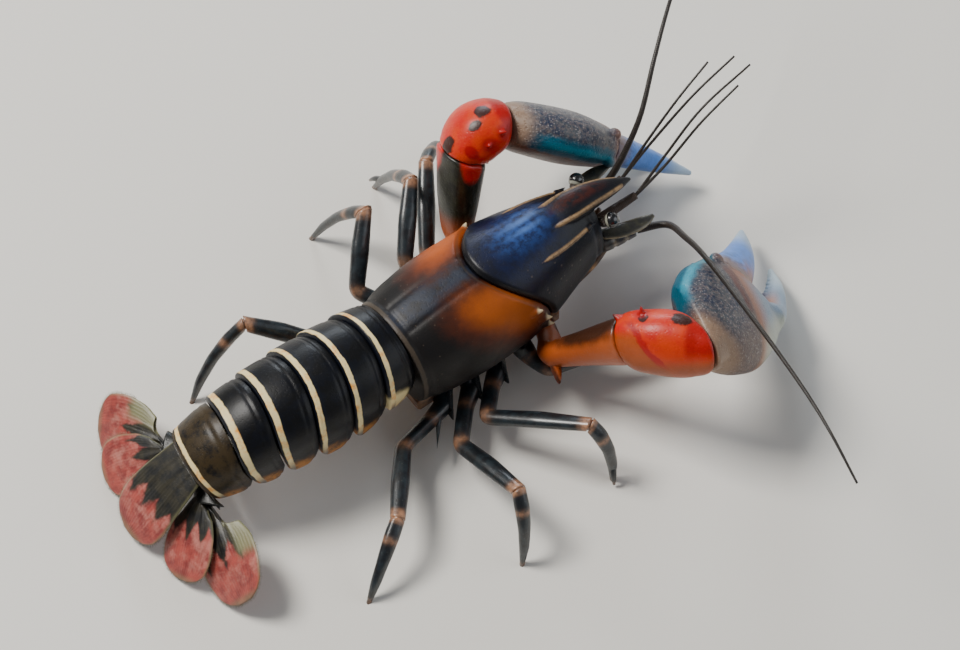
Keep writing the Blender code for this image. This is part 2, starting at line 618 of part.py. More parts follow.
def make_tail_fan():
    """The telson over two pairs of uropod blades, each pair on a stout base."""
    centre, back, left, up = abdomen_frame(RING_ENDS[-1])
    origin, side, along, normal = fan_frame()
    path = []
    sizes = []
    for t, width in TELSON_SHAPE:
        lift = TELSON_CROWN * math.sin(math.pi * t) + 0.35 * FAN_LEVEL
        path.append(origin + back * GAP + along * TELSON_LENGTH * t + normal * lift)
        sizes.append((TELSON_HALF_WIDTH * width, BLADE_HALF_THICKNESS * (1.5 - 0.8 * t)))
    rings = limb_rings(path, sizes, side, 16, BLADE_POWER, start_face=back)
    place("telson", loft("telson", rings), BLADE_PINK)
    for name, sign in (("left", 1), ("right", -1)):
        root = centre + left * sign * UROPOD_ROOT[0] + up * UROPOD_ROOT[1] + back * GAP
        out, down = UROPOD_BASE_END
        end = origin + side * sign * out + along * down + normal * FAN_LEVEL * UROPOD_BASE_LEVEL
        rings = limb_rings([root, end], UROPOD_BASE_SIZES, side, 12, 2.4, start_face=back, end_face=along)
        place(f"uropod_{name}_base", loft("uropod_base", rings), (0.10, 0.10, 0.06))
        blade(f"uropod_{name}_inner", sign, *INNER_BLADE)
        blade(f"uropod_{name}_outer", sign, *OUTER_BLADES[name])


def mirrored(point, sign):
    """A point given for the left side, on the side with this sign."""
    return Vector((point[0], point[1] * sign, point[2]))


def make_head_appendages():
    """Eyes on stalks, feelers on their peduncles, antennal scales and the outer mouth legs."""
    forward = Vector((1, 0, 0))
    for name, sign in (("left", 1), ("right", -1)):
        stalk = [mirrored(p, sign) for p in EYE_STALK]
        ball = bmesh.new()
        bmesh.ops.create_uvsphere(ball, u_segments=14, v_segments=9, radius=EYE_RADIUS,
                                  matrix=Matrix.Translation(stalk[1] + Vector((0.3, 0.25 * sign, 0.1))))
        bmesh.ops.triangulate(ball, faces=ball.faces)
        globe = bpy.data.meshes.new("eye")
        ball.to_mesh(globe)
        ball.free()
        rings = limb_rings(stalk, [(1.0, 1.0), (1.1, 1.1)], Vector((0, 1, 0)), 10, start_face=forward)
        neck = loft("stalk", rings)
        place(f"eye_{name}", fuse(f"eye_{name}", [globe, neck]), (0.01, 0.01, 0.012))

        end, points = FEELERS[name]
        end = Vector(end)
        root = mirrored(PEDUNCLE_ROOT, sign)
        path = [root, root.lerp(end, 0.35), root.lerp(end, 0.7), end]
        start = unit(Vector(points[0]) - end)
        rings = limb_rings(path, PEDUNCLE_SIZES, Vector((0, 1, 0)), 10, start_face=forward, end_face=start)
        place(f"antenna_{name}_peduncle", loft("peduncle", rings), (0.05, 0.05, 0.07))
        route = [end + start * GAP, *[Vector(p) for p in points]]
        whip = feeler("feeler", route, FEELER_RADIUS, FEELER_TIP_RADIUS)
        place(f"antenna_{name}_feeler", whip, (0.02, 0.02, 0.02))

        scale = [mirrored(p, sign) for p in SCALE_PATH]
        rings = limb_rings(scale, SCALE_SIZES, Vector((0, 1, 0)), 10, 2.4, start_face=forward)
        place(f"antennal_scale_{name}", loft("scale", rings), (0.06, 0.06, 0.05))

        tip, branches = ANTENNULES[name]
        tip = Vector(tip)
        root = mirrored(ANTENNULE_ROOT, sign)
        stem = [root, root.lerp(tip, 0.5), tip]
        rings = limb_rings(stem, ANTENNULE_SIZES, Vector((0, 1, 0)), 8, start_face=forward)
        pieces = [loft("antennule", rings)]
        for branch in branches:
            route = [root.lerp(tip, 0.8), tip, *branch]
            pieces.append(feeler("branch", route, BRANCH_RADIUS, BRANCH_TIP_RADIUS, 2))
        place(f"antennule_{name}", fuse(f"antennule_{name}", pieces), (0.04, 0.035, 0.03))

        mouth = [mirrored(p, sign) for p in MAXILLIPED_PATH]
        rings = limb_rings(mouth, MAXILLIPED_SIZES, Vector((0, 1, 0)), 10, start_face=forward)
        place(f"maxilliped_{name}", loft("maxilliped", rings), (0.10, 0.06, 0.04))


def joint_face(before, joint, after):
    """The plane that halves the bend at a joint, as its normal."""
    return unit(unit(joint - before) + unit(after - joint))


def hand_ring(frame, s, outer, inner, half_depth, sides=16):
    """A ring across the hand at a distance from the wrist, between two margins."""
    wrist, axis, spread, normal, size = frame
    middle = (outer + inner) / 2
    arch = HAND_ARCH * (s / HAND_LENGTH) ** 2
    centre = wrist + (axis * s + spread * middle - normal * arch) * size
    return section(centre, axis, spread, size * (inner - outer) / 2, size * half_depth, sides, HAND_POWER)


def clear_of_face(ring, along, point, face, least):
    """Slide a ring's points along a direction until each is at least this far past a face."""
    cleared = []
    for p in ring:
        short = least - (p - point).dot(face)
        cleared.append(p + along * max(short, 0.0) / along.dot(face))
    return cleared


def drawn_in(ring, share):
    """A ring made smaller round its own middle."""
    middle = sum(ring, Vector()) / len(ring)
    return [middle.lerp(point, share) for point in ring]


def make_claw(name, data):
    """A claw leg: base and merus, carpus, hand with its fixed finger, and the movable finger."""
    sign = 1 if name == "left" else -1
    joints = [Vector(p) for p in data["joints"]]
    elbow = [joints[-1], *[Vector(p) for p in data["elbow"]]]
    axis = unit(Vector(data["axis"]))
    spread = Vector(data["spread"])
    spread = unit(spread - axis * spread.dot(axis))
    normal = axis.cross(spread) * -sign
    wrist = elbow[-1]

    knee = joint_face(joints[-2], joints[-1], elbow[1])
    upper = joints[:-1] + [joints[-1] - knee * GAP / 2]
    rings = limb_rings(upper, data["merus"], spread, 12, 2.3, start_face=Vector((0, 1, 0)), end_face=knee)
    rings.insert(-1, [point - unit(joints[-1] - joints[-2]) * JOINT_LIP for point in rings[-1]])
    rings[-1] = drawn_in(rings[-1], JOINT_ROUNDING)
    place(f"cheliped_{name}_merus", loft("merus", rings), (0.05, 0.05, 0.035))

    bend = joint_face(elbow[1], wrist, wrist + axis)
    middle = [elbow[0] + knee * GAP / 2, elbow[1], wrist - bend * GAP / 2]
    path = [middle[0], middle[0].lerp(middle[1], 0.45), middle[1], middle[1].lerp(middle[2], 0.6), middle[2]]
    sizes = [(half_width * data["wrist_size"], half_depth * data["wrist_size"])
             for half_width, half_depth in CARPUS_SIZES]
    rings = limb_rings(path, sizes, spread, 14, 2.2, start_face=knee, end_face=bend)
    upper_arm = unit(middle[1] - middle[0])
    lower_arm = unit(wrist - elbow[1])
    rings.insert(1, [point + upper_arm * JOINT_LIP for point in rings[0]])
    rings.insert(-1, [point - lower_arm * JOINT_LIP for point in rings[-1]])
    rings[0] = drawn_in(rings[0], JOINT_ROUNDING)
    rings[-1] = drawn_in(rings[-1], JOINT_ROUNDING)
    least = GAP / 2 + JOINT_LIP
    for i in (2, 3, 4):
        rings[i] = clear_of_face(rings[i], -lower_arm, wrist, -bend, least + RING_CLEARANCE * (5 - i))
        rings[i] = clear_of_face(rings[i], lower_arm, elbow[0], knee, least + RING_CLEARANCE * (i - 1))
    away, radius, spine_length = CARPUS_SPINE
    spine = cone(middle[1] + spread * away, spread + lower_arm * 0.6, radius, spine_length)
    away, radius, spine_length = CARPUS_SPUR
    spur_root = middle[0] + upper_arm * 5 * JOINT_LIP + spread * away
    spur = cone(spur_root, spread - upper_arm * 0.45, radius, spine_length)
    place(f"cheliped_{name}_carpus", fuse("carpus", [loft("carpus", rings), spine, spur]), (0.75, 0.07, 0.02))

    frame = (wrist, axis, spread, normal, data["size"])
    ring = hand_ring(frame, 0, HAND_OUTER[0][1], HAND_INNER[0][1], HAND_HALF_DEPTH[0][1])
    face = [p - axis * (p - wrist).dot(bend) / axis.dot(bend) + bend * GAP / 2 for p in ring]
    rings = [drawn_in(face, JOINT_ROUNDING), [p + axis * JOINT_LIP for p in face]]
    for i, s in enumerate(PALM_STATIONS):
        ring = hand_ring(frame, s, read(HAND_OUTER, s), read(HAND_INNER, s), read(HAND_HALF_DEPTH, s))
        rings.append(clear_of_face(ring, axis, wrist, bend, GAP / 2 + JOINT_LIP + RING_CLEARANCE * (i + 1)))
    for s in FIXED_STATIONS:
        out = FINGER_ROOT + (s - FINGER_ROOT) * data["fixed_reach"]
        outer, inner = read(HAND_OUTER, s), read(FIXED_EDGE, s)
        rings.append(hand_ring(frame, out, outer, inner, read(HAND_HALF_DEPTH, s)))
    place(f"cheliped_{name}_propodus", loft("propodus", rings), (0.16, 0.20, 0.24))

    rings = []
    for s in DACTYL_STATIONS:
        inner, outer = read(DACTYL_INNER, s), read(DACTYL_OUTER, s)
        rings.append(hand_ring(frame, s, inner, outer, read(DACTYL_HALF_DEPTH, s), 12))
    place(f"cheliped_{name}_dactyl", loft("dactyl", rings), (0.35, 0.45, 0.62))


def make_leg(name, root_x, points):
    """A walking leg, split at its knee; the front two pairs end in small pincers."""
    sign = 1 if name.startswith("left") else -1
    basis, hip, knee, toe = [Vector(p) for p in points]
    root = Vector((root_x, sign * (STERNUM_HALF_WIDTH + GAP), LEG_ROOT_HEIGHT))
    fore = Vector((1, 0, 0))
    wrist = knee.lerp(toe, LEG_WRIST) + Vector((0, 0, 0.9)) + (knee - hip) * 0.05
    face = joint_face(hip, knee, wrist)
    coxa = root + Vector((0.12 * (basis.x - root.x), sign * COXA_LENGTH, 0))
    upper = [root, coxa, basis, hip, hip.lerp(knee, 0.5) + Vector((0, 0, 0.5)), knee - face * GAP / 2]
    rings = limb_rings(upper, LEG_UPPER_SIZES, fore, 8, 2.2, start_face=Vector((0, 1, 0)), end_face=face)
    place(f"leg_{name}_upper", loft("upper", rings), (0.07, 0.08, 0.085))

    lower = []
    sizes = []
    for t, half_width, half_depth in LEG_LOWER_SHAPE:
        bow = LEG_BOW * 4 * t * (1 - t)
        lower.append(knee.lerp(toe, t) + (wrist - knee.lerp(toe, LEG_WRIST)) * bow)
        sizes.append((half_width, half_depth))
    lower[0] = knee + face * GAP / 2
    flat = Vector((0, 0, 1))
    pieces = [loft("lower", limb_rings(lower, sizes, fore, 8, 2.2, start_face=face, end_face=flat))]
    if name in PINCER_LEGS:
        aside = unit((lower[-1] - lower[-2]).cross(Vector((0, 0, 1))).cross(lower[-1] - lower[-2]))
        start = lower[-2].lerp(lower[-1], 0.1)
        end = lower[-2].lerp(lower[-1], 0.86) + aside * PINCER_SPREAD
        path = [start, start.lerp(end, 0.5) + aside * PINCER_SPREAD / 3, end]
        pieces.append(loft("finger", limb_rings(path, PINCER_SIZES, fore, 8)))
    mesh = fuse("lower", pieces) if len(pieces) > 1 else pieces[0]
    place(f"leg_{name}_lower", mesh, (0.06, 0.07, 0.08))


def centre_on_origin(root, collection):
    """Move the whole animal so that the middle of its footprint is over the origin."""
    view = bpy.context.evaluated_depsgraph_get()
    corners = []
    for item in collection.objects:
        if item.type == "MESH":
            corners += [item.evaluated_get(view).matrix_world @ Vector(corner) for corner in item.bound_box]
    low = [min(corner[i] for corner in corners) for i in (0, 1)]
    high = [max(corner[i] for corner in corners) for i in (0, 1)]
    root.location = (-(low[0] + high[0]) / 2, -(low[1] + high[1]) / 2, 0)


def main():
    """Build the model."""
    for item in list(bpy.data.objects):
        bpy.data.objects.remove(item)
    collection = bpy.data.collections.new(COLLECTION)
    bpy.context.scene.collection.children.link(collection)
    root = bpy.data.objects.new(COLLECTION, None)
    collection.objects.link(root)
    make_thorax()
    make_head()
    make_sternum()
    make_abdomen()
    make_tail_fan()
    make_head_appendages()
    for name, data in CLAWS.items():
        make_claw(name, data)
    for name, (root_x, points) in LEGS.items():
        make_leg(name, root_x, points)
    centre_on_origin(root, collection)


main()
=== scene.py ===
"""The looks of the zebra crayfish: its shell plates, claws, legs, feelers and tail fan, each with its finish.

Sizes are millimetres in the animal's own frame: x runs forward from the rear margin of the carapace,
y runs to the animal's left and z runs up from the floor. The workshop moves each piece to its place.
"""

from __future__ import annotations

import functools
import inspect
import logging
import math
from dataclasses import dataclass, field
from enum import Enum
from typing import Callable, Iterable, Sequence

import bpy
import numpy as np
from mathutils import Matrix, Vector

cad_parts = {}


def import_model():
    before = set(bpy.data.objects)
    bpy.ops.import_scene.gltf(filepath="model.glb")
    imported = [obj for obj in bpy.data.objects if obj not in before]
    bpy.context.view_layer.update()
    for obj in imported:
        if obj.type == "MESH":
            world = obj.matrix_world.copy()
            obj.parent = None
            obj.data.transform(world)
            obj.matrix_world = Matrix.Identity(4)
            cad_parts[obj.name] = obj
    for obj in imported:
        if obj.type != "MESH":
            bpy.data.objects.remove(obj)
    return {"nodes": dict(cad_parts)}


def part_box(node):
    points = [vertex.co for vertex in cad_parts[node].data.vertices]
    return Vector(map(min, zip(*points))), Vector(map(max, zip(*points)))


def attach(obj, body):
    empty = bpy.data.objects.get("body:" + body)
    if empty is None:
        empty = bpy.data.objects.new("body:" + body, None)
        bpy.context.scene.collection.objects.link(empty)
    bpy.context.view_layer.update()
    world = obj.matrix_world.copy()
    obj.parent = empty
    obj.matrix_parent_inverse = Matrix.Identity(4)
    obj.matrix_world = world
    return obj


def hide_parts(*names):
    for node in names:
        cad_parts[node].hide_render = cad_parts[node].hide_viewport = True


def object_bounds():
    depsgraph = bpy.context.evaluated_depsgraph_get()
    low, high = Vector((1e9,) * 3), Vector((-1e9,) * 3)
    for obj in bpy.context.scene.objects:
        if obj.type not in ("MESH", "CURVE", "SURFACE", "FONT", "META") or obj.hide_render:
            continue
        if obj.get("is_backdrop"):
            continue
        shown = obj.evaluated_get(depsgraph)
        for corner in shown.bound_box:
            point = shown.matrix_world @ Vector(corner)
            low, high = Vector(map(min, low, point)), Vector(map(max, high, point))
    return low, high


LOG = logging.getLogger("crayfish")
MM = 0.001
GAP = 0.3

Colour = tuple[float, float, float]
Place = tuple[float, float, float]
Pair = tuple[float, float]
Spot = tuple[float, float, float, float]
Array = np.ndarray
Material = bpy.types.Material


class Slot(Enum):
    """The material slots."""

    CARAPACE = "carapace"
    HEAD = "head_shield"
    BREAST = "breast_plate"
    ABDOMEN = "abdomen_shell"
    FAN = "tail_fan"
    EYE = "eye"
    FEELER = "feeler"
    MOUTH = "mouth_leg"
    CLAW_ARM = "claw_arm"
    CLAW_WRIST = "claw_wrist"
    CLAW_HAND = "claw_hand"
    CLAW_FINGER = "claw_finger"
    LEG = "leg_shell"


class Side(Enum):
    """A side of the animal, with the sign of its y."""

    LEFT = 1
    RIGHT = -1

    @property
    def word(self) -> str:
        """The side's word in the names of pieces."""
        return self.name.lower()


def srgb(*channels: float) -> Colour:
    """Turn a colour as seen, 0 to 255 a channel, into linear light."""
    shares = [channel / 255 for channel in channels]
    return tuple(share / 12.92 if share <= 0.04045 else ((share + 0.055) / 1.055) ** 2.4 for share in shares)


def vec(*numbers: float) -> Array:
    """A place or direction."""
    return np.array(numbers, float)


class Curve:
    """A smooth curve through knots of place and value, without overshoot between them."""

    def __init__(self, *knots: Pair) -> None:
        """Lay the curve through its knots."""
        self.at, self.level = np.array(knots, float).T
        slopes = np.diff(self.level) / np.diff(self.at)
        product = slopes[:-1] * slopes[1:]
        total = np.where(product > 0, slopes[:-1] + slopes[1:], 1)
        self.slope = np.concatenate(([slopes[0]], np.where(product > 0, 2 * product / total, 0), [slopes[-1]]))

    def __call__(self, x: Array | float) -> Array:
        """The values at places."""
        i = np.clip(np.searchsorted(self.at, x, side="right") - 1, 0, len(self.at) - 2)
        span = self.at[i + 1] - self.at[i]
        t = np.clip((x - self.at[i]) / span, 0, 1)
        return (self.level[i] * (1 + 2 * t) * (1 - t) ** 2 + self.level[i + 1] * t * t * (3 - 2 * t)
                + span * (self.slope[i] * t * (1 - t) ** 2 - self.slope[i + 1] * t * t * (1 - t)))


def ease(t: Array | float) -> Array:
    """Go from 0 to 1 with level ends."""
    share = np.clip(t, 0, 1)
    return share * share * (3 - 2 * share)


def bump_at(x: Array, centre: float, width: float) -> Array:
    """A smooth bump of height 1 round a centre."""
    return np.exp(-(((x - centre) / width) ** 2))


def signed_power(value: Array, power: Array | float) -> Array:
    """Raise values to a power and keep their signs."""
    return np.sign(value) * np.abs(value) ** power


def unit(vector: Array) -> Array:
    """The direction of a vector, or of each row of vectors."""
    return vector / np.linalg.norm(vector, axis=-1, keepdims=True)


def trailing(pitch: float, yaw: float) -> Array:
    """The backward direction, dipped by a pitch and turned left by a yaw, both in radians."""
    return vec(-math.cos(pitch) * math.cos(yaw), math.cos(pitch) * math.sin(yaw), -math.sin(pitch))


def headings(path: Array) -> Array:
    """The direction of a line at each of its points."""
    return unit(np.gradient(path, axis=0))


def lengths(path: Sequence[Array]) -> Array:
    """The length of each stretch of a line of points."""
    return np.linalg.norm(np.diff(np.array(path), axis=0), axis=1)


def nearness(points: Array, samples: Iterable[Array]) -> Array:
    """How far points are from the nearest of some samples."""
    return np.min([np.linalg.norm(points - sample, axis=1) for sample in samples], axis=0)


@dataclass
class Solid:
    """A closed surface in millimetres.

    along runs from 0 to 1 from its first ring to its last, and turn from 0 to 1 round each ring.
    """

    points: Array
    faces: list[tuple[int, ...]]
    along: Array
    turn: Array

    def joined(self, *others: Solid) -> Solid:
        """Put other solids into the same mesh.

        Args:
            others: The other solids.

        Returns:
            One solid with all their faces.
        """
        every = (self, *others)
        starts = np.cumsum([0, *(len(solid.points) for solid in every)]).tolist()
        faces = [tuple(start + i for i in face) for start, solid in zip(starts, every) for face in solid.faces]
        return Solid(np.vstack([solid.points for solid in every]), faces,
                     np.concatenate([solid.along for solid in every]), np.concatenate([solid.turn for solid in every]))

    def mesh(self, name: str) -> bpy.types.Mesh:
        """Make a Blender mesh of the solid, still in millimetres."""
        made = bpy.data.meshes.new(name)
        made.from_pydata(self.points.tolist(), [], self.faces)
        made.update()
        return made

    def blended(self, voxel: float, rounds: int = 2) -> Solid:
        """Melt the parts of the solid into one skin, whose along and turn are zero.

        Args:
            voxel: The grain of the new skin.
            rounds: How often it is smoothed.

        Returns:
            The new solid.
        """
        holder = bpy.data.objects.new("blending", self.mesh("blending"))
        bpy.context.scene.collection.objects.link(holder)
        skin = holder.modifiers.new("skin", "REMESH")
        skin.mode = "VOXEL"
        skin.voxel_size = voxel
        soften = holder.modifiers.new("soften", "SMOOTH")
        soften.factor = 0.5
        soften.iterations = rounds
        view = bpy.context.evaluated_depsgraph_get()
        mesh = bpy.data.meshes.new_from_object(holder.evaluated_get(view))
        bpy.data.objects.remove(holder)
        count = len(mesh.vertices)
        points = np.zeros(count * 3)
        mesh.vertices.foreach_get("co", points)
        faces = [tuple(face.vertices) for face in mesh.polygons]
        bpy.data.meshes.remove(mesh)
        return Solid(points.reshape(-1, 3), faces, np.zeros(count), np.zeros(count))

    def softened(self, share: Array, rounds: int = 40) -> Solid:
        """Round the edges of the skin in one area.

        Args:
            share: How much each point takes part.
            rounds: How often each point moves half way to the middle of its neighbours.

        Returns:
            The new solid.
        """
        loops = np.array([corner for face in self.faces for corner in face])
        after = np.array([corner for face in self.faces for corner in (*face[1:], face[0])])
        count = np.bincount(loops, minlength=len(self.points))[:, None]
        points = self.points.copy()
        for _ in range(rounds):
            total = np.column_stack([np.bincount(loops, points[after, axis], len(points)) for axis in range(3)])
            points += (total / np.maximum(count, 1) - points) * (0.5 * share)[:, None]
        return Solid(points, self.faces, self.along, self.turn)


def loft(rings: Sequence[Array]) -> Solid:
    """Close a skin over rings of equal count, with its faces outward.

    Args:
        rings: The rings, from the first end.

    Returns:
        The solid.
    """
    stack = np.array(rings)
    rows, count, _ = stack.shape
    index = np.arange(rows * count).reshape(rows, count)
    nearby = np.roll(index, -1, axis=1)
    quads = np.stack([index[:-1], nearby[:-1], nearby[1:], index[1:]], -1).reshape(-1, 4)
    points = np.vstack([stack.reshape(-1, 3), stack[0].mean(0), stack[-1].mean(0)])
    first, last = rows * count, rows * count + 1
    faces = [tuple(quad) for quad in quads.tolist()]
    for j in range(count):
        faces.append((int(nearby[0, j]), int(index[0, j]), first))
        faces.append((int(index[-1, j]), int(nearby[-1, j]), last))
    a, b, c = np.moveaxis((points - points.mean(0))[quads[:, :3]], 1, 0)
    if np.einsum("ij,ij->i", a, np.cross(b, c)).sum() < 0:
        faces = [face[::-1] for face in faces]
    along = np.concatenate([np.repeat(np.linspace(0, 1, rows), count), [0, 1]])
    turn = np.concatenate([np.tile(np.arange(count) / count, rows), [0, 0]])
    return Solid(points, faces, along, turn)


def densify(path: Array, step: float, soften: float) -> Array:
    """Sample a line of points closely and round its corners.

    Args:
        path: Rows whose first three numbers are a place; any more go along with it.
        step: The distance between samples.
        soften: How far a corner is rounded.

    Returns:
        The closer rows, with the two ends where they were.
    """
    at = np.concatenate(([0], np.cumsum(lengths(path[:, :3]))))
    count = max(int(at[-1] / step), 10)
    places = np.linspace(0, at[-1], count + 1)
    dense = np.column_stack([np.interp(places, at, column) for column in path.T])
    for _ in range(int(2 * (soften * count / at[-1]) ** 2)):
        dense[1:-1] = (dense[:-2] + 2 * dense[1:-1] + dense[2:]) / 4
    return dense


def smooth_path(points: Sequence[Sequence[float]], steps: int) -> Array:
    """Points along a smooth curve through the given ones, a few to each stretch.

    Args:
        points: The given points.
        steps: New points to a stretch.

    Returns:
        The points, the first given one included.
    """
    given = np.array(points, float)
    ends = [given[0] * 2 - given[1], *given, given[-1] * 2 - given[-2]]
    path = [given[0]]
    for a, b, c, d in zip(ends, ends[1:], ends[2:], ends[3:]):
        for t in np.arange(1, steps + 1) / steps:
            path.append((b * 2 + (c - a) * t + (a * 2 - b * 5 + c * 4 - d) * t * t
                         + (b * 3 - a - c * 3 + d) * t * t * t) / 2)
    return np.array(path)


def section(centre: Array, along: Array, wide: Array, half_width: float, half_depth: float, sides: int,
            power: float = 2, face: Array | None = None) -> Array:
    """A ring round a centre: a rounded oval across a direction, sheared into a face if there is one.

    Args:
        centre: Its middle.
        along: The direction it lies across.
        wide: The direction of its width.
        half_width: Half its width.
        half_depth: Half its depth.
        sides: How many points it has.
        power: How boxy it is; 2 is an oval.
        face: The normal of the face, if there is one.

    Returns:
        Its points.
    """
    across = unit(wide - along * wide.dot(along))
    deep = np.cross(along, across)
    angle = math.tau * (np.arange(sides) + 0.5) / sides
    ring = (centre + np.outer(half_width * signed_power(np.cos(angle), 2 / power), across)
            + np.outer(half_depth * signed_power(np.sin(angle), 2 / power), deep))
    return ring if face is None else slid(ring, centre, face, along)


def slid(ring: Array, point: Array, face: Array, along: Array) -> Array:
    """Slide a ring's points along a direction into the plane through a point."""
    return ring - np.outer((ring - point) @ face / along.dot(face), along)


def limb(path: Sequence[Sequence[float]], sizes: Sequence[Pair], wide: Array, sides: int = 40, power: float = 2.1,
         start_face: Array | None = None, end_face: Array | None = None, step: float = 0.35,
         soften: float = 0.9) -> Solid:
    """A limb along a line of points, with an end sheared into each face that is given.

    Args:
        path: The points of its middle line.
        sizes: Half-width and half-depth at each point.
        wide: The direction of its width.
        sides: Points round a ring.
        power: How boxy the rings are; 2 is an oval.
        start_face: The normal of its first end, if that is cut at a slant.
        end_face: The normal of its last end, if that is cut at a slant.
        step: The distance between rings.
        soften: How far its corners are rounded.

    Returns:
        The limb.
    """
    dense = densify(np.column_stack([np.array(path, float), np.array(sizes, float)]), step, soften)
    gone = np.concatenate(([0], np.cumsum(lengths(dense[:, :3]))))
    rings = []
    for row, heading, before, after in zip(dense, headings(dense[:, :3]), gone, gone[-1] - gone):
        face = None
        for wanted, away in ((end_face, after), (start_face, before)):
            if wanted is not None and away < 1.6 * row[3]:
                face = heading + (wanted - heading) * (1 - away / (1.6 * row[3]))
        rings.append(section(row[:3], heading, wide, row[3], row[4], sides, power, face))
    return loft(rings)


def drawn_in(ring: Array, point: Array, face: Array, reach: float, least: float) -> Array:
    """Draw a ring in towards its middle on a quarter circle where it comes near a cut face.

    Args:
        ring: The ring's points.
        point: A point of the face.
        face: The face's normal.
        reach: The distance from the face at which the rounding begins.
        least: The share of the ring's size that is left at the face.

    Returns:
        The ring.
    """
    depth = np.clip(np.abs((ring - point) @ face) / reach, 0, 1)
    share = least + (1 - least) * np.sqrt(1 - (1 - depth) ** 2)
    middle = ring.mean(0)
    return middle + (ring - middle) * share[:, None]


def thorn(root: Array, direction: Array, radius: float, length: float) -> Solid:
    """A spine with a broad foot and a slim, slightly rounded tip.

    Args:
        root: The middle of its foot.
        direction: Where it points.
        radius: Its thickness.
        length: Its length.

    Returns:
        The spine.
    """
    heading = unit(direction)
    wide = vec(0, 0, 1) if abs(heading[2]) < 0.8 else vec(1, 0, 0)
    return loft([section(root + heading * length * t, heading, wide, radius * share, radius * share, 14)
                 for t, share in ((0, 1.25), (0.15, 1), (0.4, 0.72), (0.7, 0.42), (0.92, 0.2), (1, 0.08))])


def knob(centre: Array, radii: Sequence[float] | float, turned: Array | None = None) -> Solid:
    """A small rounded lump, optionally turned by a matrix whose rows are its own directions.

    Args:
        centre: Its middle.
        radii: Its radius, or one for each direction.
        turned: The matrix.

    Returns:
        The lump.
    """
    angle = np.linspace(0, math.tau, 14, endpoint=False)
    rings = []
    for tilt in np.linspace(-0.98, 0.98, 9) * math.pi / 2:
        ring = np.column_stack([np.cos(angle) * math.cos(tilt), np.sin(angle) * math.cos(tilt),
                                np.full(14, math.sin(tilt))]) * np.array(radii)
        rings.append(centre + (ring if turned is None else ring @ turned))
    return loft(rings)


def sign(operation: str, turned: bool = False) -> Callable[..., Wire]:
    """A method of Wire that adds a math node.

    Args:
        operation: What the node does.
        turned: Whether the wire comes last.

    Returns:
        The method.
    """

    def reckon(*values: Value) -> Wire:
        """Add the node."""
        return values[0].bench.maths(operation, *(values[::-1] if turned else values))

    return reckon


class Wire:
    """A node's output that can be reckoned with: each sign adds a math node."""

    def __init__(self, bench: Bench, socket: bpy.types.NodeSocket) -> None:
        """Hold a socket of the bench's tree."""
        self.bench = bench
        self.socket = socket

    __add__, __mul__, __truediv__ = sign("ADD"), sign("MULTIPLY"), sign("DIVIDE")
    __sub__, __rsub__, __abs__ = sign("SUBTRACT"), sign("SUBTRACT", True), sign("ABSOLUTE")


Value = Wire | float


def effect(*outputs: str) -> Callable:
    """Turn a method of Bench into a node group with its parameters as named inputs, built on first use.

    Args:
        outputs: The names of the numbers that the method returns.

    Returns:
        The decorator. The method then places the group and takes the inputs' values.
    """

    def decorate(make: Callable[..., Wire | tuple[Wire, ...]]) -> Callable[..., Wire | list[Wire]]:
        """Wrap the method.

        Args:
            make: The method.

        Returns:
            The method that places the group.
        """
        signature = inspect.signature(make)
        names = list(signature.parameters)[1:]

        def build() -> bpy.types.NodeTree:
            """Make the node group."""
            tree = bpy.data.node_groups.new(make.__name__, "ShaderNodeTree")
            tree.interface.new_socket(name="place", in_out="INPUT", socket_type="NodeSocketVector")
            for way, sockets in (("INPUT", names), ("OUTPUT", outputs)):
                for name in sockets:
                    tree.interface.new_socket(name=name, in_out=way, socket_type="NodeSocketFloat")
            bench = Bench(tree)
            source, target = tree.nodes.new("NodeGroupInput"), tree.nodes.new("NodeGroupOutput")
            bench.place = Wire(bench, source.outputs["place"])
            results = make(bench, *(Wire(bench, source.outputs[name]) for name in names))
            for name, result in zip(outputs, results if isinstance(results, tuple) else (results,)):
                bench.put(target.inputs[name], result)
            return tree

        @functools.wraps(make)
        def use(self: Bench, *given: Value, **named: Value) -> Wire | list[Wire]:
            """Place the group.

            Args:
                given: The inputs in order.
                named: More inputs by name.

            Returns:
                The group's output, or all of them if there are more.
            """
            bound = signature.bind(self, *given, **named)
            bound.apply_defaults()
            made = self.node("Group", node_tree=bpy.data.node_groups.get(make.__name__) or build())
            for name in names:
                self.put(made.inputs[name], bound.arguments[name])
            self.put(made.inputs["place"], self.place)
            wires = [Wire(self, made.outputs[name]) for name in outputs]
            return wires[0] if len(wires) == 1 else wires

        return use

    return decorate


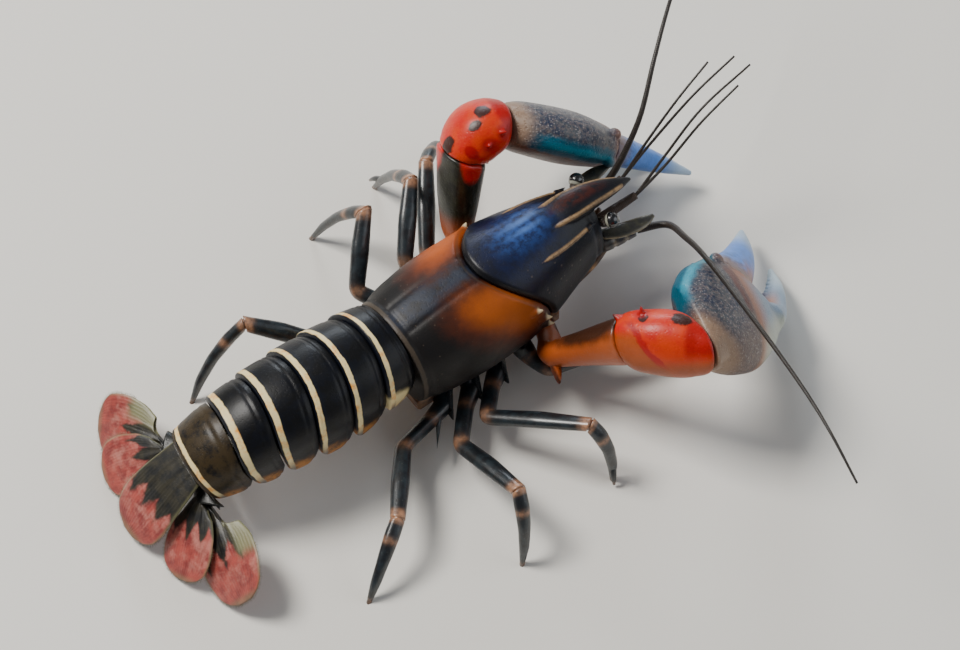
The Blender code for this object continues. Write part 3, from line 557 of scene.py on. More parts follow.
class Bench:
    """A node tree with short calls for the nodes that finishes share, and their effects."""

    place: Wire

    def __init__(self, tree: bpy.types.NodeTree) -> None:
        """Work on a tree."""
        self.tree = tree

    def node(self, kind: str, **settings: object) -> bpy.types.Node:
        """Add a shader node and set its own settings."""
        made = self.tree.nodes.new(f"ShaderNode{kind}")
        for name, value in settings.items():
            setattr(made, name, value)
        return made

    def put(self, socket: bpy.types.NodeSocket, value: Value | Colour) -> None:
        """Link a wire into a socket, or set the socket's value."""
        if isinstance(value, Wire):
            self.tree.links.new(value.socket, socket)
        else:
            socket.default_value = (*value, 1) if socket.type == "RGBA" else value

    def wired(self, kind: str, inputs: dict[str | int, Value | Colour], output: str | int = 0,
              **settings: object) -> Wire:
        """Add a node, fill its inputs and take one of its outputs.

        Args:
            kind: The node's kind.
            inputs: Values by the name or number of the input.
            output: The name or number of the output.
            settings: The node's own settings.

        Returns:
            The output.
        """
        made = self.node(kind, **settings)
        for name, value in inputs.items():
            self.put(made.inputs[name], value)
        return Wire(self, made.outputs[output])

    def maths(self, operation: str, *values: Value) -> Wire:
        """One step of arithmetic."""
        return self.wired("Math", dict(enumerate(values)), operation=operation)

    def span(self, value: Wire, low: Value, high: Value) -> Wire:
        """Go smoothly from 0 at one value to 1 at another."""
        return self.wired("MapRange", {"Value": value, "From Min": low, "From Max": high}, "Result",
                          interpolation_type="SMOOTHSTEP")

    def mix(self, share: Wire, first: Wire | Colour, second: Wire | Colour) -> Wire:
        """Go from one colour to another."""
        return self.wired("Mix", {0: share, 6: first, 7: second}, 2, data_type="RGBA")

    def noise(self, scale: Value, detail: float = 3, roughness: float = 0.55) -> Wire:
        """Soft noise over the place."""
        return self.wired("TexNoise", {"Vector": self.place, "Scale": scale, "Detail": detail,
                                       "Roughness": roughness}, "Fac")

    @effect("height", "tone")
    def shell_grain(self, pit_scale: Wire, pit_share: Wire, wave_scale: Wire) -> tuple[Wire, Wire]:
        """Fine pits and soft undulation of a shell, with a tone that follows them."""
        pits = self.wired("TexVoronoi", {"Vector": self.place, "Scale": pit_scale}, "Distance")
        fine = self.noise(pit_scale * 2.6, 4, 0.6)
        wave = self.noise(wave_scale, 2)
        return self.span(pits, 0.05, 0.42) * pit_share + (fine * 0.35 + wave), (fine + wave) * 0.5

    @effect("mask")
    def mottle(self, scale: Wire, level: Wire, softness: Wire) -> Wire:
        """Irregular blotches: a mask where soft noise passes a level."""
        return self.span(self.noise(scale, 4, 0.6), level - softness, level + softness)

    @effect("mask")
    def speckle(self, scale: Wire, size: Wire, kept: Value = 0.6) -> Wire:
        """Scattered round specks, of which a share is kept."""
        cells = self.node("TexVoronoi")
        self.put(cells.inputs["Vector"], self.place)
        self.put(cells.inputs["Scale"], scale)
        luck = self.wired("SeparateColor", {0: Wire(self, cells.outputs["Color"])})
        speck = self.span(Wire(self, cells.outputs["Distance"]), size, size * 0.55)
        return speck * self.maths("LESS_THAN", luck, kept)

    @effect("mask")
    def band(self, coordinate: Wire, centre: Wire, half_width: Wire, softness: Value = 0.25,
             wobble: Value = 0.3) -> Wire:
        """A soft band along a coordinate, with edges that wander."""
        away = abs(coordinate + (self.noise(0.45) - 0.5) * wobble - centre)
        return self.span(away, half_width + softness, half_width)

    @effect("mask")
    def patch(self, u: Wire, v: Wire, centre_u: Wire, centre_v: Wire, radius_u: Wire, radius_v: Wire, softness: Wire,
              wobble: Value = 0.3) -> Wire:
        """A soft oval patch round a place on two coordinates, with a wandering edge."""
        first, second = (u - centre_u) / radius_u, (v - centre_v) / radius_v
        away = self.maths("SQRT", first * first + second * second) + (self.noise(0.5, 4) - 0.5) * wobble
        return 1 - self.span(away, 1 - softness, softness + 1)

    @effect("height")
    def fibres(self, across: Wire, along: Wire, count: Wire) -> Wire:
        """Fine ribs that run along one coordinate and are counted on the other."""
        wave = self.maths("SINE", across * count + self.noise(0.35, 2) * 2.5)
        return (wave * 0.5 + 0.5) * self.span(along, 0.1, 0.5)


@dataclass(frozen=True)
class Gloss:
    """The numbers of a shell's gloss that are the same all over it."""

    coat: float = 0.5
    coat_roughness: float = 0.18
    relief: float = 0.045
    specular: float = 0.5


class Coating(Bench):
    """A material in the making: its coordinates, its shader and the colours laid over each other."""

    def __init__(self, name: str, gloss: Gloss, colour: Colour = (0, 0, 0)) -> None:
        """Start a material.

        Args:
            name: The material's name.
            gloss: Its constant gloss.
            colour: Its first colour.
        """
        self.material = bpy.data.materials.new(name)
        self.material.use_nodes = True
        super().__init__(self.material.node_tree)
        self.shader = self.tree.nodes["Principled BSDF"]
        self.gloss = gloss
        self.colour: Wire | Colour = colour
        self.place = self.wired("VectorMath", {0: self.wired("TexCoord", {}, "Object"), "Scale": 1 / MM},
                                operation="SCALE")
        chart = self.node("SeparateXYZ")
        self.put(chart.inputs[0], self.wired("Attribute", {}, "Vector", attribute_name="chart"))
        self.u, self.v, self.w = (Wire(self, socket) for socket in chart.outputs)
        self.accent = self.wired("Attribute", {}, "Fac", attribute_name="accent")

    def over(self, mask: Wire, colour: Wire | Colour, strength: float = 1) -> None:
        """Lay a colour over what is there, where a mask says."""
        self.colour = self.mix(mask if strength == 1 else mask * strength, self.colour, colour)

    def done(self, roughness: Pair, pit_scale: float, pit_share: float, wave_scale: float,
             extra_height: Wire | None = None) -> Material:
        """Give the shader its colour, roughness and relief.

        Args:
            roughness: The lowest and highest roughness.
            pit_scale: Pits to a millimetre.
            pit_share: How strong the pits are in the relief.
            wave_scale: Undulations to a millimetre.
            extra_height: A height to add to the grain.

        Returns:
            The finished material.
        """
        height, tone = self.shell_grain(pit_scale, pit_share, wave_scale)
        shade, rough = (self.wired("Mix", {0: tone, 2: low, 3: high}, data_type="FLOAT")
                        for low, high in ((0.72, 1.28), roughness))
        if extra_height is not None:
            height = height + extra_height
        sockets = self.shader.inputs
        self.put(sockets["Base Color"], self.wired("VectorMath", {0: self.colour, "Scale": shade}, operation="SCALE"))
        self.put(sockets["Roughness"], rough)
        self.put(sockets["Normal"], self.wired("Bump", {"Strength": 1, "Distance": self.gloss.relief * MM,
                                                        "Height": height}, "Normal"))
        sockets["Coat Weight"].default_value = self.gloss.coat
        sockets["Coat Roughness"].default_value = self.gloss.coat_roughness
        sockets["Specular IOR Level"].default_value = self.gloss.specular
        return self.material


@dataclass(frozen=True)
class ThoraxFinish:
    """Brown-black shell with a painted bluish sheen along its back, glowing orange flanks behind the neck groove and
    pale spines.
    """

    ground: Colour = srgb(15, 11, 10)
    shadow: Colour = srgb(12, 10, 11)
    # back is painted sheen: the bluish light along the top of the back, laid into the colour
    back: Colour = srgb(34, 44, 64)
    glow: Colour = srgb(178, 80, 0)
    amber: Colour = srgb(172, 82, 4)
    ember: Colour = srgb(84, 34, 8)
    hem: Colour = srgb(92, 80, 66)
    spine: Colour = srgb(225, 205, 165)
    gloss: Gloss = Gloss(coat=0.1, coat_roughness=0.3, relief=0.05, specular=0.28)

    def paint(self) -> Material:
        """Make the material; its chart is x, angle and the distance behind the groove."""
        coat = Coating("thorax_shell", self.gloss, self.ground)
        x, behind, angle = coat.u, coat.w, abs(coat.v)
        coat.over(coat.mottle(0.35, 0.52, 0.12), self.shadow, 0.8)
        # painted sheen: a mottled bluish streak of light on the top of the back
        coat.over(coat.patch(x, angle, 8, 0, 13, 13, 0.6) * coat.mottle(0.5, 0.45, 0.2), self.back, 0.7)
        coat.over(coat.patch(behind, angle, 5, 54, 8.5, 40, 0.4, 0.5), self.ember, 0.95)
        glow = coat.mix(coat.span(coat.v, -5, 5), self.amber, self.glow)
        coat.over(coat.patch(behind, angle, 4.2, 50, 5, 26, 0.6, 0.4), glow, 0.95)
        coat.over(coat.speckle(1.1, 0.2, 0.3) * coat.span(x, 16, 6), self.hem, 0.45)
        coat.over(coat.band(x, 0.5, 0.25, 0.3), self.hem, 0.5)
        coat.over(coat.band(behind, 0.9, 0.15), self.hem, 0.25)
        coat.over(coat.accent, self.spine)
        return coat.done((0.42, 0.6), 1.7, 0.35, 0.35)


@dataclass(frozen=True)
class HeadFinish:
    """Deep blue shell, bluest on its back where a painted sheen and glint lie, with a dusky side, tan ridges, a
    red-brown trough and painted shade in the neck groove.
    """

    ground: Colour = srgb(9, 10, 18)
    blue: Colour = srgb(9, 22, 60)
    # sheen and glint are painted highlights: light on the back of the head laid into the colour
    sheen: Colour = srgb(40, 78, 146)
    glint: Colour = srgb(92, 130, 196)
    side: Colour = srgb(13, 12, 20)
    speck: Colour = srgb(120, 105, 95)
    # groove is painted shade: near-black laid in the neck groove and on the rim before it
    groove: Colour = srgb(4, 4, 6)
    ridge: Colour = srgb(180, 146, 104)
    trough: Colour = srgb(58, 18, 8)
    gloss: Gloss = Gloss(coat=0.16, coat_roughness=0.28, relief=0.05, specular=0.28)

    def paint(self) -> Material:
        """Make the material; its chart is x, y and the distance ahead of the groove, and ridges are its accent."""
        coat = Coating("head_shell", self.gloss, self.ground)
        x, y, across = coat.u, coat.v, abs(coat.v)
        coat.over(coat.span(across, 6, 9.5), self.side, 0.8)
        coat.over(coat.patch(x, y, 28, 0.2, 8.4, 8, 0.5, 0.5), self.blue, 0.9)
        coat.over(coat.mottle(0.7, 0.54, 0.14), self.ground, 0.6)
        # painted sheen: a mottled patch of reflected light on the back
        coat.over(coat.patch(x, y, 29.6, 1, 5.2, 3.6, 0.8, 0.6) * coat.mottle(0.9, 0.47, 0.18), self.sheen, 0.8)
        # painted glint: brighter streaks of highlight inside the sheen
        coat.over(coat.patch(x, y, 30.5, 1.6, 3.6, 1.9, 0.8, 0.8) * coat.fibres(y, x, 3), self.glint, 0.6)
        coat.over(coat.patch(x, y, 42.5, 0.6, 6, 1.5, 0.4, 0.4) * coat.mottle(0.6, 0.46, 0.12), self.trough, 0.95)
        # painted shade in the neck groove, which also dims the highlight on the rim before it
        coat.over(coat.span(coat.w, 1.6, 0.8), self.groove, 0.9)
        coat.over(coat.speckle(0.9, 0.24, 0.3) * coat.span(across, 4, 8), self.speck, 0.35)
        coat.over(coat.accent * coat.mottle(0.8, 0.36, 0.3), self.ridge, 0.9)
        return coat.done((0.36, 0.54), 1.9, 0.5, 0.35)


@dataclass(frozen=True)
class AbdomenFinish:
    """Near-black ring with a cream band before its rear margin and tan blotches on its flaps."""

    band_at: float
    band_width: float
    brown_share: float
    blob_share: float
    ground: Colour = srgb(5, 5, 7)
    navy: Colour = srgb(6, 11, 24)
    brown: Colour = srgb(72, 58, 34)
    cream: Colour = srgb(236, 216, 160)
    warm: Colour = srgb(222, 150, 56)
    grey: Colour = srgb(108, 104, 100)
    flap: Colour = srgb(186, 122, 48)
    gloss: Gloss = Gloss(coat=0.14, coat_roughness=0.28, relief=0.05, specular=0.22)

    def paint(self) -> Material:
        """Make the material; its chart is the distance before the rear margin, height share and side."""
        coat = Coating("abdomen_shell", self.gloss, self.ground)
        before, up = coat.u, coat.v
        coat.over(coat.mottle(0.5, 0.52, 0.1), self.navy, 0.5)
        coat.over(coat.span(before, 2.2, 1.6), self.navy, 0.8)
        if self.brown_share:
            coat.over(coat.mottle(0.6, 0.42, 0.15), self.brown, self.brown_share)
        coat.over(coat.patch(before, up, 1.6, -0.85, 3.2, 0.5, 0.4, 0.6) * coat.mottle(0.8, 0.4, 0.15), self.flap, 0.85)
        if self.blob_share:
            coat.over(coat.patch(before, up, 1.1, -0.26, 3.4, 0.4, 0.25), self.cream, self.blob_share)
        pale = coat.mix(coat.mottle(0.4, 0.6, 0.15), self.cream, self.warm)
        pale = coat.mix(coat.span(up, 0.05, -0.75), pale, self.grey)
        line = coat.band(before, self.band_at, self.band_width, 0.2, 0.5)
        coat.over(line * coat.span(up, -1.05, -0.7), pale)
        return coat.done((0.34, 0.5), 2, 0.45, 0.4)


@dataclass(frozen=True)
class FanFinish:
    """Dark olive blade whose outer part is salmon pink beyond a zigzag border, with fine ribs."""

    name: str
    border: float
    zigzag: float = 0.13
    margin_side: float = 0
    dark: Colour = srgb(10, 11, 12)
    olive: Colour = srgb(44, 40, 26)
    pink: Colour = srgb(170, 72, 62)
    rose: Colour = srgb(128, 44, 42)
    pale: Colour = srgb(184, 114, 102)
    margin: Colour = srgb(128, 126, 90)
    gloss: Gloss = Gloss(coat=0.2, coat_roughness=0.3, relief=0.06)

    def paint(self) -> Material:
        """Make the material; its chart is the share of the length, the signed share of the width and its edge."""
        coat = Coating(f"{self.name}_blade", self.gloss)
        out, across, edge = coat.u, coat.v, coat.w
        wave = coat.maths("PINGPONG", across * 1.6 + 4.3, 0.5)
        past = out + (coat.noise(0.5) - 0.5) * 0.22 - (wave * (4 * self.zigzag) + (self.border - self.zigzag))
        coat.colour = coat.mix(coat.mottle(0.6, 0.5, 0.15), self.dark, self.olive)
        outer = coat.mix(coat.mottle(0.45, 0.5, 0.16), self.pink, self.rose)
        outer = coat.mix(coat.mottle(0.5, 0.56, 0.16) * coat.span(out, 0.95, 0.7), outer, self.pale)
        coat.over(coat.span(past, -0.05, 0.06), outer)
        coat.over(coat.span(edge, 0.9, 1), self.margin, 0.55)
        if self.margin_side:
            aside = coat.span(across * self.margin_side, 0.25, 0.6)
            coat.over(aside * coat.span(out, 0.62, 0.46), self.margin, 0.95)
        return coat.done((0.34, 0.55), 2, 0.3, 0.4, coat.fibres(across, out, 60) * 0.45)


@dataclass(frozen=True)
class PlainFinish:
    """A shell of two mottled colours with paler specks, and an accent colour where its mark is."""

    name: str
    ground: Colour
    second: Colour
    accent: Colour = srgb(214, 176, 150)
    specks: Colour = srgb(120, 118, 110)
    gloss: Gloss = Gloss()

    def paint(self) -> Material:
        """Make the material; its accent mark shows the accent colour."""
        coat = Coating(self.name, self.gloss)
        coat.colour = coat.mix(coat.mottle(0.6, 0.5, 0.12), self.ground, self.second)
        coat.over(coat.speckle(1.4, 0.22, 0.4), self.specks, 0.25)
        coat.over(coat.accent * coat.mottle(1.2, 0.4, 0.3), self.accent, 0.9)
        return coat.done((0.3, 0.5), 2.2, 0.5, 0.5)


@dataclass(frozen=True)
class FeelerFinish:
    """Near-black feeler with fine rings along it."""

    ground: Colour = srgb(22, 19, 18)
    second: Colour = srgb(52, 42, 34)
    stem: Colour = srgb(92, 66, 48)
    rings: float = 2.6
    gloss: Gloss = Gloss(coat=0.2, coat_roughness=0.3, relief=0.12)

    def paint(self) -> Material:
        """Make the material; its chart starts with the distance along the feeler."""
        coat = Coating("feeler_rings", self.gloss)
        ring = coat.span(coat.maths("SINE", coat.u * (self.rings * math.tau)), -0.2, 0.8)
        coat.colour = coat.mix(ring, self.second, self.ground)
        coat.over(coat.accent, self.stem, 0.6)
        return coat.done((0.35, 0.5), 3, 0.2, 1, ring * 1.2)


@dataclass(frozen=True)
class EyeFinish:
    """Wet black eye, with fine facets and a pale ring where it meets its stalk."""

    ground: Colour = srgb(8, 8, 11)
    rim: Colour = srgb(165, 165, 150)
    stalk: Colour = srgb(58, 50, 44)
    gloss: Gloss = Gloss(coat=1, coat_roughness=0.05, relief=0.012, specular=0.6)

    def paint(self) -> Material:
        """Make the material; the chart's first coordinate runs from the stalk to the front of the eye."""
        coat = Coating("eye_gloss", self.gloss, self.ground)
        coat.over(coat.span(coat.u, -0.35, -0.6), self.stalk)
        coat.over(coat.band(coat.u, -0.42, 0.1, 0.12, 0.1), self.rim, 0.9)
        return coat.done((0.12, 0.3), 9, 1, 0.6)


@dataclass(frozen=True)
class WristFinish:
    """Vermilion shell with olive-black spots, crimson flames and end, and an orange-tan outer side.

    Spots and flames are a share of the way from elbow to hand, a roll in degrees and the radius in each.
    """

    name: str
    spots: tuple[Spot, ...]
    flames: tuple[Spot, ...] = ()
    tan_roll: Pair = (80, 125)
    crease: bool = False
    red: Colour = srgb(200, 12, 0)
    orange: Colour = srgb(210, 54, 0)
    crimson: Colour = srgb(168, 2, 6)
    tan: Colour = srgb(164, 78, 26)
    spot: Colour = srgb(15, 13, 6)
    joint_skin: Colour = srgb(96, 22, 10)
    gloss: Gloss = Gloss(coat=0.14, coat_roughness=0.26, relief=0.05, specular=0.35)

    def paint(self) -> Material:
        """Make the material; its chart is the share from elbow to hand, the roll in degrees and the joint skin."""
        coat = Coating(f"{self.name}_shell", self.gloss)
        along, roll, skin = coat.u, coat.v, coat.w
        coat.colour = coat.mix(coat.mottle(0.35, 0.47, 0.16), self.red, self.orange)
        coat.over(coat.span(roll, self.tan_roll[0] - 50, self.tan_roll[0]), self.orange, 0.8)
        coat.over(coat.span(roll, *self.tan_roll), self.tan, 0.9)
        coat.over(coat.span(roll, -60, -110), self.tan, 0.9)
        if self.crease:
            line = along - roll * 0.0052
            held = coat.span(roll, 10, 30) * coat.span(roll, 125, 95)
            coat.over(coat.span(line, 0.01, -0.03) * coat.span(roll, 30, 60), self.tan, 0.85)
            coat.over(coat.band(line, 0.02, 0.035, 0.05, 0.2) * held, self.crimson, 0.9)
        coat.over(coat.span(along, 0.85, 0.94) * coat.span(roll, 110, 70), self.crimson, 0.85)
        for place in self.flames:
            coat.over(coat.patch(along, roll, *place, 0.2, 0.6), self.crimson, 0.95)
        for place in self.spots:
            coat.over(coat.patch(along, roll, *place, 0.16, 1.3), self.spot, 0.95)
        coat.over(coat.accent, self.crimson, 0.9)
        coat.over(skin, self.joint_skin)
        return coat.done((0.3, 0.5), 1.6, 0.6, 0.3)


@dataclass(frozen=True)
class ArmFinish:
    """Olive-black upper arm with an orange-tan root, and perhaps red flames at its elbow or a dark upper edge.

    Flames and the shadow are a share of the turn round the arm and the half-width in it.
    """

    name: str
    root_to: float
    flames: tuple[Pair, ...] = ()
    shadow: Pair | None = None
    ground: Colour = srgb(14, 16, 10)
    olive: Colour = srgb(32, 34, 18)
    root: Colour = srgb(188, 88, 30)
    end: Colour = srgb(206, 26, 8)
    gloss: Gloss = Gloss(coat=0.3, coat_roughness=0.24, relief=0.08)

    def paint(self) -> Material:
        """Make the material; its chart is the share from the breast to the elbow and the turn round the arm."""
        coat = Coating(f"{self.name}_shell", self.gloss)
        along, turn = coat.u, coat.v
        coat.colour = coat.mix(coat.mottle(0.4, 0.5, 0.14), self.ground, self.olive)
        coat.over(coat.span(along, self.root_to, self.root_to - 0.25), self.root, 0.9)
        if self.shadow:
            at, half = self.shadow
            coat.over(coat.patch(along, turn, 0.78, at, 0.34, half, 0.35, 0.5), self.ground, 0.92)
        for at, half in self.flames:
            coat.over(coat.patch(along, turn, 1, at, 0.14, half, 0.25, 0.5), self.end, 0.95)
        return coat.done((0.3, 0.5), 1.8, 0.5, 0.35)


@dataclass(frozen=True)
class HandFinish:
    """Slate palm mottled in cream, pink and navy, with a teal inner crest whose brighter line is partly painted
    highlight, a rusty underside and a white tip.
    """

    name: str
    teal_roll: float
    teal_half_width: float
    bright_roll: float
    slate: Colour = srgb(66, 70, 78)
    navy: Colour = srgb(34, 44, 66)
    cream: Colour = srgb(158, 136, 122)
    speck: Colour = srgb(156, 152, 152)
    teal: Colour = srgb(6, 96, 120)
    # the brighter teal is partly the crest's own colour, partly painted light
    bright_teal: Colour = srgb(30, 164, 190)
    rust: Colour = srgb(104, 46, 14)
    outer: Colour = srgb(104, 84, 76)
    margin: Colour = srgb(190, 192, 168)
    rim: Colour = srgb(158, 126, 96)
    finger: Colour = srgb(134, 160, 184)
    streak: Colour = srgb(92, 26, 6)
    tip: Colour = srgb(192, 208, 214)
    base: Colour = srgb(170, 94, 34)
    gloss: Gloss = Gloss(coat=0.18, coat_roughness=0.28, relief=0.1, specular=0.4)

    def paint(self) -> Material:
        """Make the material; its chart is the way from the wrist, the share across and the roll in degrees."""
        coat = Coating(f"{self.name}_shell", self.gloss)
        out, across, roll, span = coat.u, coat.v, coat.w, coat.span
        coat.colour = coat.mix(coat.mottle(0.45, 0.5, 0.12), self.slate, self.navy)
        coat.over(span(across, 0, -0.65), self.outer, 0.8)
        coat.over(coat.mottle(1.5, 0.54, 0.12), self.cream, 0.3)
        coat.over(coat.speckle(2.1, 0.4, 0.7) * coat.mottle(0.35, 0.42, 0.12), self.speck, 0.55)
        beyond = across * -9 + out
        coat.over(span(beyond, 15.5, 21), self.finger, 0.75)
        coat.over(span(beyond, 15.2, 17.5) * span(beyond, 24, 17.5), self.base, 0.6)
        coat.over(span(across, -0.45, -0.8) * span(beyond, 15.5, 21), self.margin, 0.7)
        coat.over(coat.band(beyond, 15, 0.4, 1.6, 3) * span(across, -0.35, -0.1) * span(across, 0.8, 0.5),
                  self.streak, 0.8)
        low = coat.band(roll, -97, 45, 12, 18) * span(out, 30, 24)
        coat.over(low, self.rust, 0.9)
        coat.over(low * coat.speckle(1.6, 0.28, 0.5), self.base, 0.6)
        coat.over(coat.band(roll, self.teal_roll, self.teal_half_width, 13, 18) * span(out, 2, 6)
                  * span(out, 27, 22), self.teal, 0.92)
        # brighter teal line along the crest: partly the crest's own colour, partly painted light that lifts it where
        # that face lies in shade
        coat.over(coat.band(roll, self.bright_roll, 2, 10, 12) * span(out, 4, 9) * span(out, 25, 21),
                  self.bright_teal, 0.65)
        coat.over(span(out, 4, 0.8), self.rim, 0.65)
        coat.over(span(out, 23, 28), self.finger, 0.85)
        coat.over(span(out, 36, 26) * span(across, 0, 0.8) * span(out, 21, 25), self.base, 0.8)
        coat.over(span(out, 32, 40), self.tip, 0.85)
        return coat.done((0.34, 0.55), 1.6, 0.8, 0.4)


@dataclass(frozen=True)
class DactylFinish:
    """Sky blue movable finger with a white tip and a rusty inner root."""

    name: str
    blue: Colour = srgb(72, 134, 220)
    deep: Colour = srgb(24, 74, 136)
    rose: Colour = srgb(166, 118, 110)
    tip: Colour = srgb(184, 206, 222)
    base: Colour = srgb(150, 70, 22)
    heel: Colour = srgb(128, 100, 80)
    gloss: Gloss = Gloss(coat=0.2, coat_roughness=0.24, relief=0.08, specular=0.4)

    def paint(self) -> Material:
        """Make the material; its chart is the way from the wrist, the share across and the roll in degrees."""
        coat = Coating(f"{self.name}_shell", self.gloss)
        out, across, span = coat.u, coat.v, coat.span
        coat.colour = coat.mix(coat.mottle(0.6, 0.5, 0.14), self.blue, self.deep)
        coat.over(span(out, 25, 32), self.blue, 0.8)
        coat.over(span(across, 0.1, -0.7) * span(out, 35, 26), self.base, 0.95)
        coat.over(span(across, 0.5, -0.4) * coat.mottle(0.7, 0.5, 0.1) * span(out, 34, 28), self.rose, 0.5)
        coat.over(span(out, 28.5, 25), self.heel, 0.85)
        coat.over(span(out, 35, 43), self.tip, 0.85)
        return coat.done((0.28, 0.46), 1.8, 0.5, 0.4)


Finish = (ThoraxFinish | HeadFinish | AbdomenFinish | FanFinish | PlainFinish | FeelerFinish | EyeFinish
          | WristFinish | ArmFinish | HandFinish | DactylFinish)


@dataclass
class Workshop:
    """Where pieces get their place and finish.

    shift is where the animal's own origin lies in the model.
    """

    shift: Array
    materials: dict[Finish, Material] = field(default_factory=dict)
    faces: int = 0

    @classmethod
    def at_frame(cls, sternum_rear: float) -> Workshop:
        """Find the animal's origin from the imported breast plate, given the x of the plate's rear end."""
        low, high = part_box("sternum")
        return cls(vec(low.x - sternum_rear * MM, (low.y + high.y) / 2, 0))

    def material(self, finish: Finish) -> Material:
        """A finish's material, painted on first use."""
        if finish not in self.materials:
            self.materials[finish] = finish.paint()
        return self.materials[finish]

    def stand(self, name: str, solid: Solid, finish: Finish, slot: Slot, node: str = "", chart: Array | None = None,
              accent: Array | None = None) -> None:
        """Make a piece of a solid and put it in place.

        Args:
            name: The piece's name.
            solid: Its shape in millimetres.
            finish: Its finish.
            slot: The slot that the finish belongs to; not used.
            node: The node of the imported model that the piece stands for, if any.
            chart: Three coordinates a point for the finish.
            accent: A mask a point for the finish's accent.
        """
        mesh = Solid(solid.points * MM + self.shift, solid.faces, solid.along, solid.turn).mesh(name)
        nothing = np.zeros(len(solid.points))
        chart = np.column_stack([solid.along, solid.turn, nothing]) if chart is None else chart
        for label, kind, key, values in (("chart", "FLOAT_VECTOR", "vector", chart),
                                         ("accent", "FLOAT", "value", nothing if accent is None else accent)):
            made = mesh.attributes.new(label, kind, "POINT")
            made.data.foreach_set(key, np.asarray(values, np.float32).ravel())
        mesh.materials.append(self.material(finish))
        mesh.shade_smooth()
        piece = bpy.data.objects.new(name, mesh)
        bpy.context.scene.collection.objects.link(piece)
        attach(piece, "root")
        if node:
            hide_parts(node)
        self.faces += len(mesh.polygons)
        LOG.info("%s: %d faces", name, len(mesh.polygons))


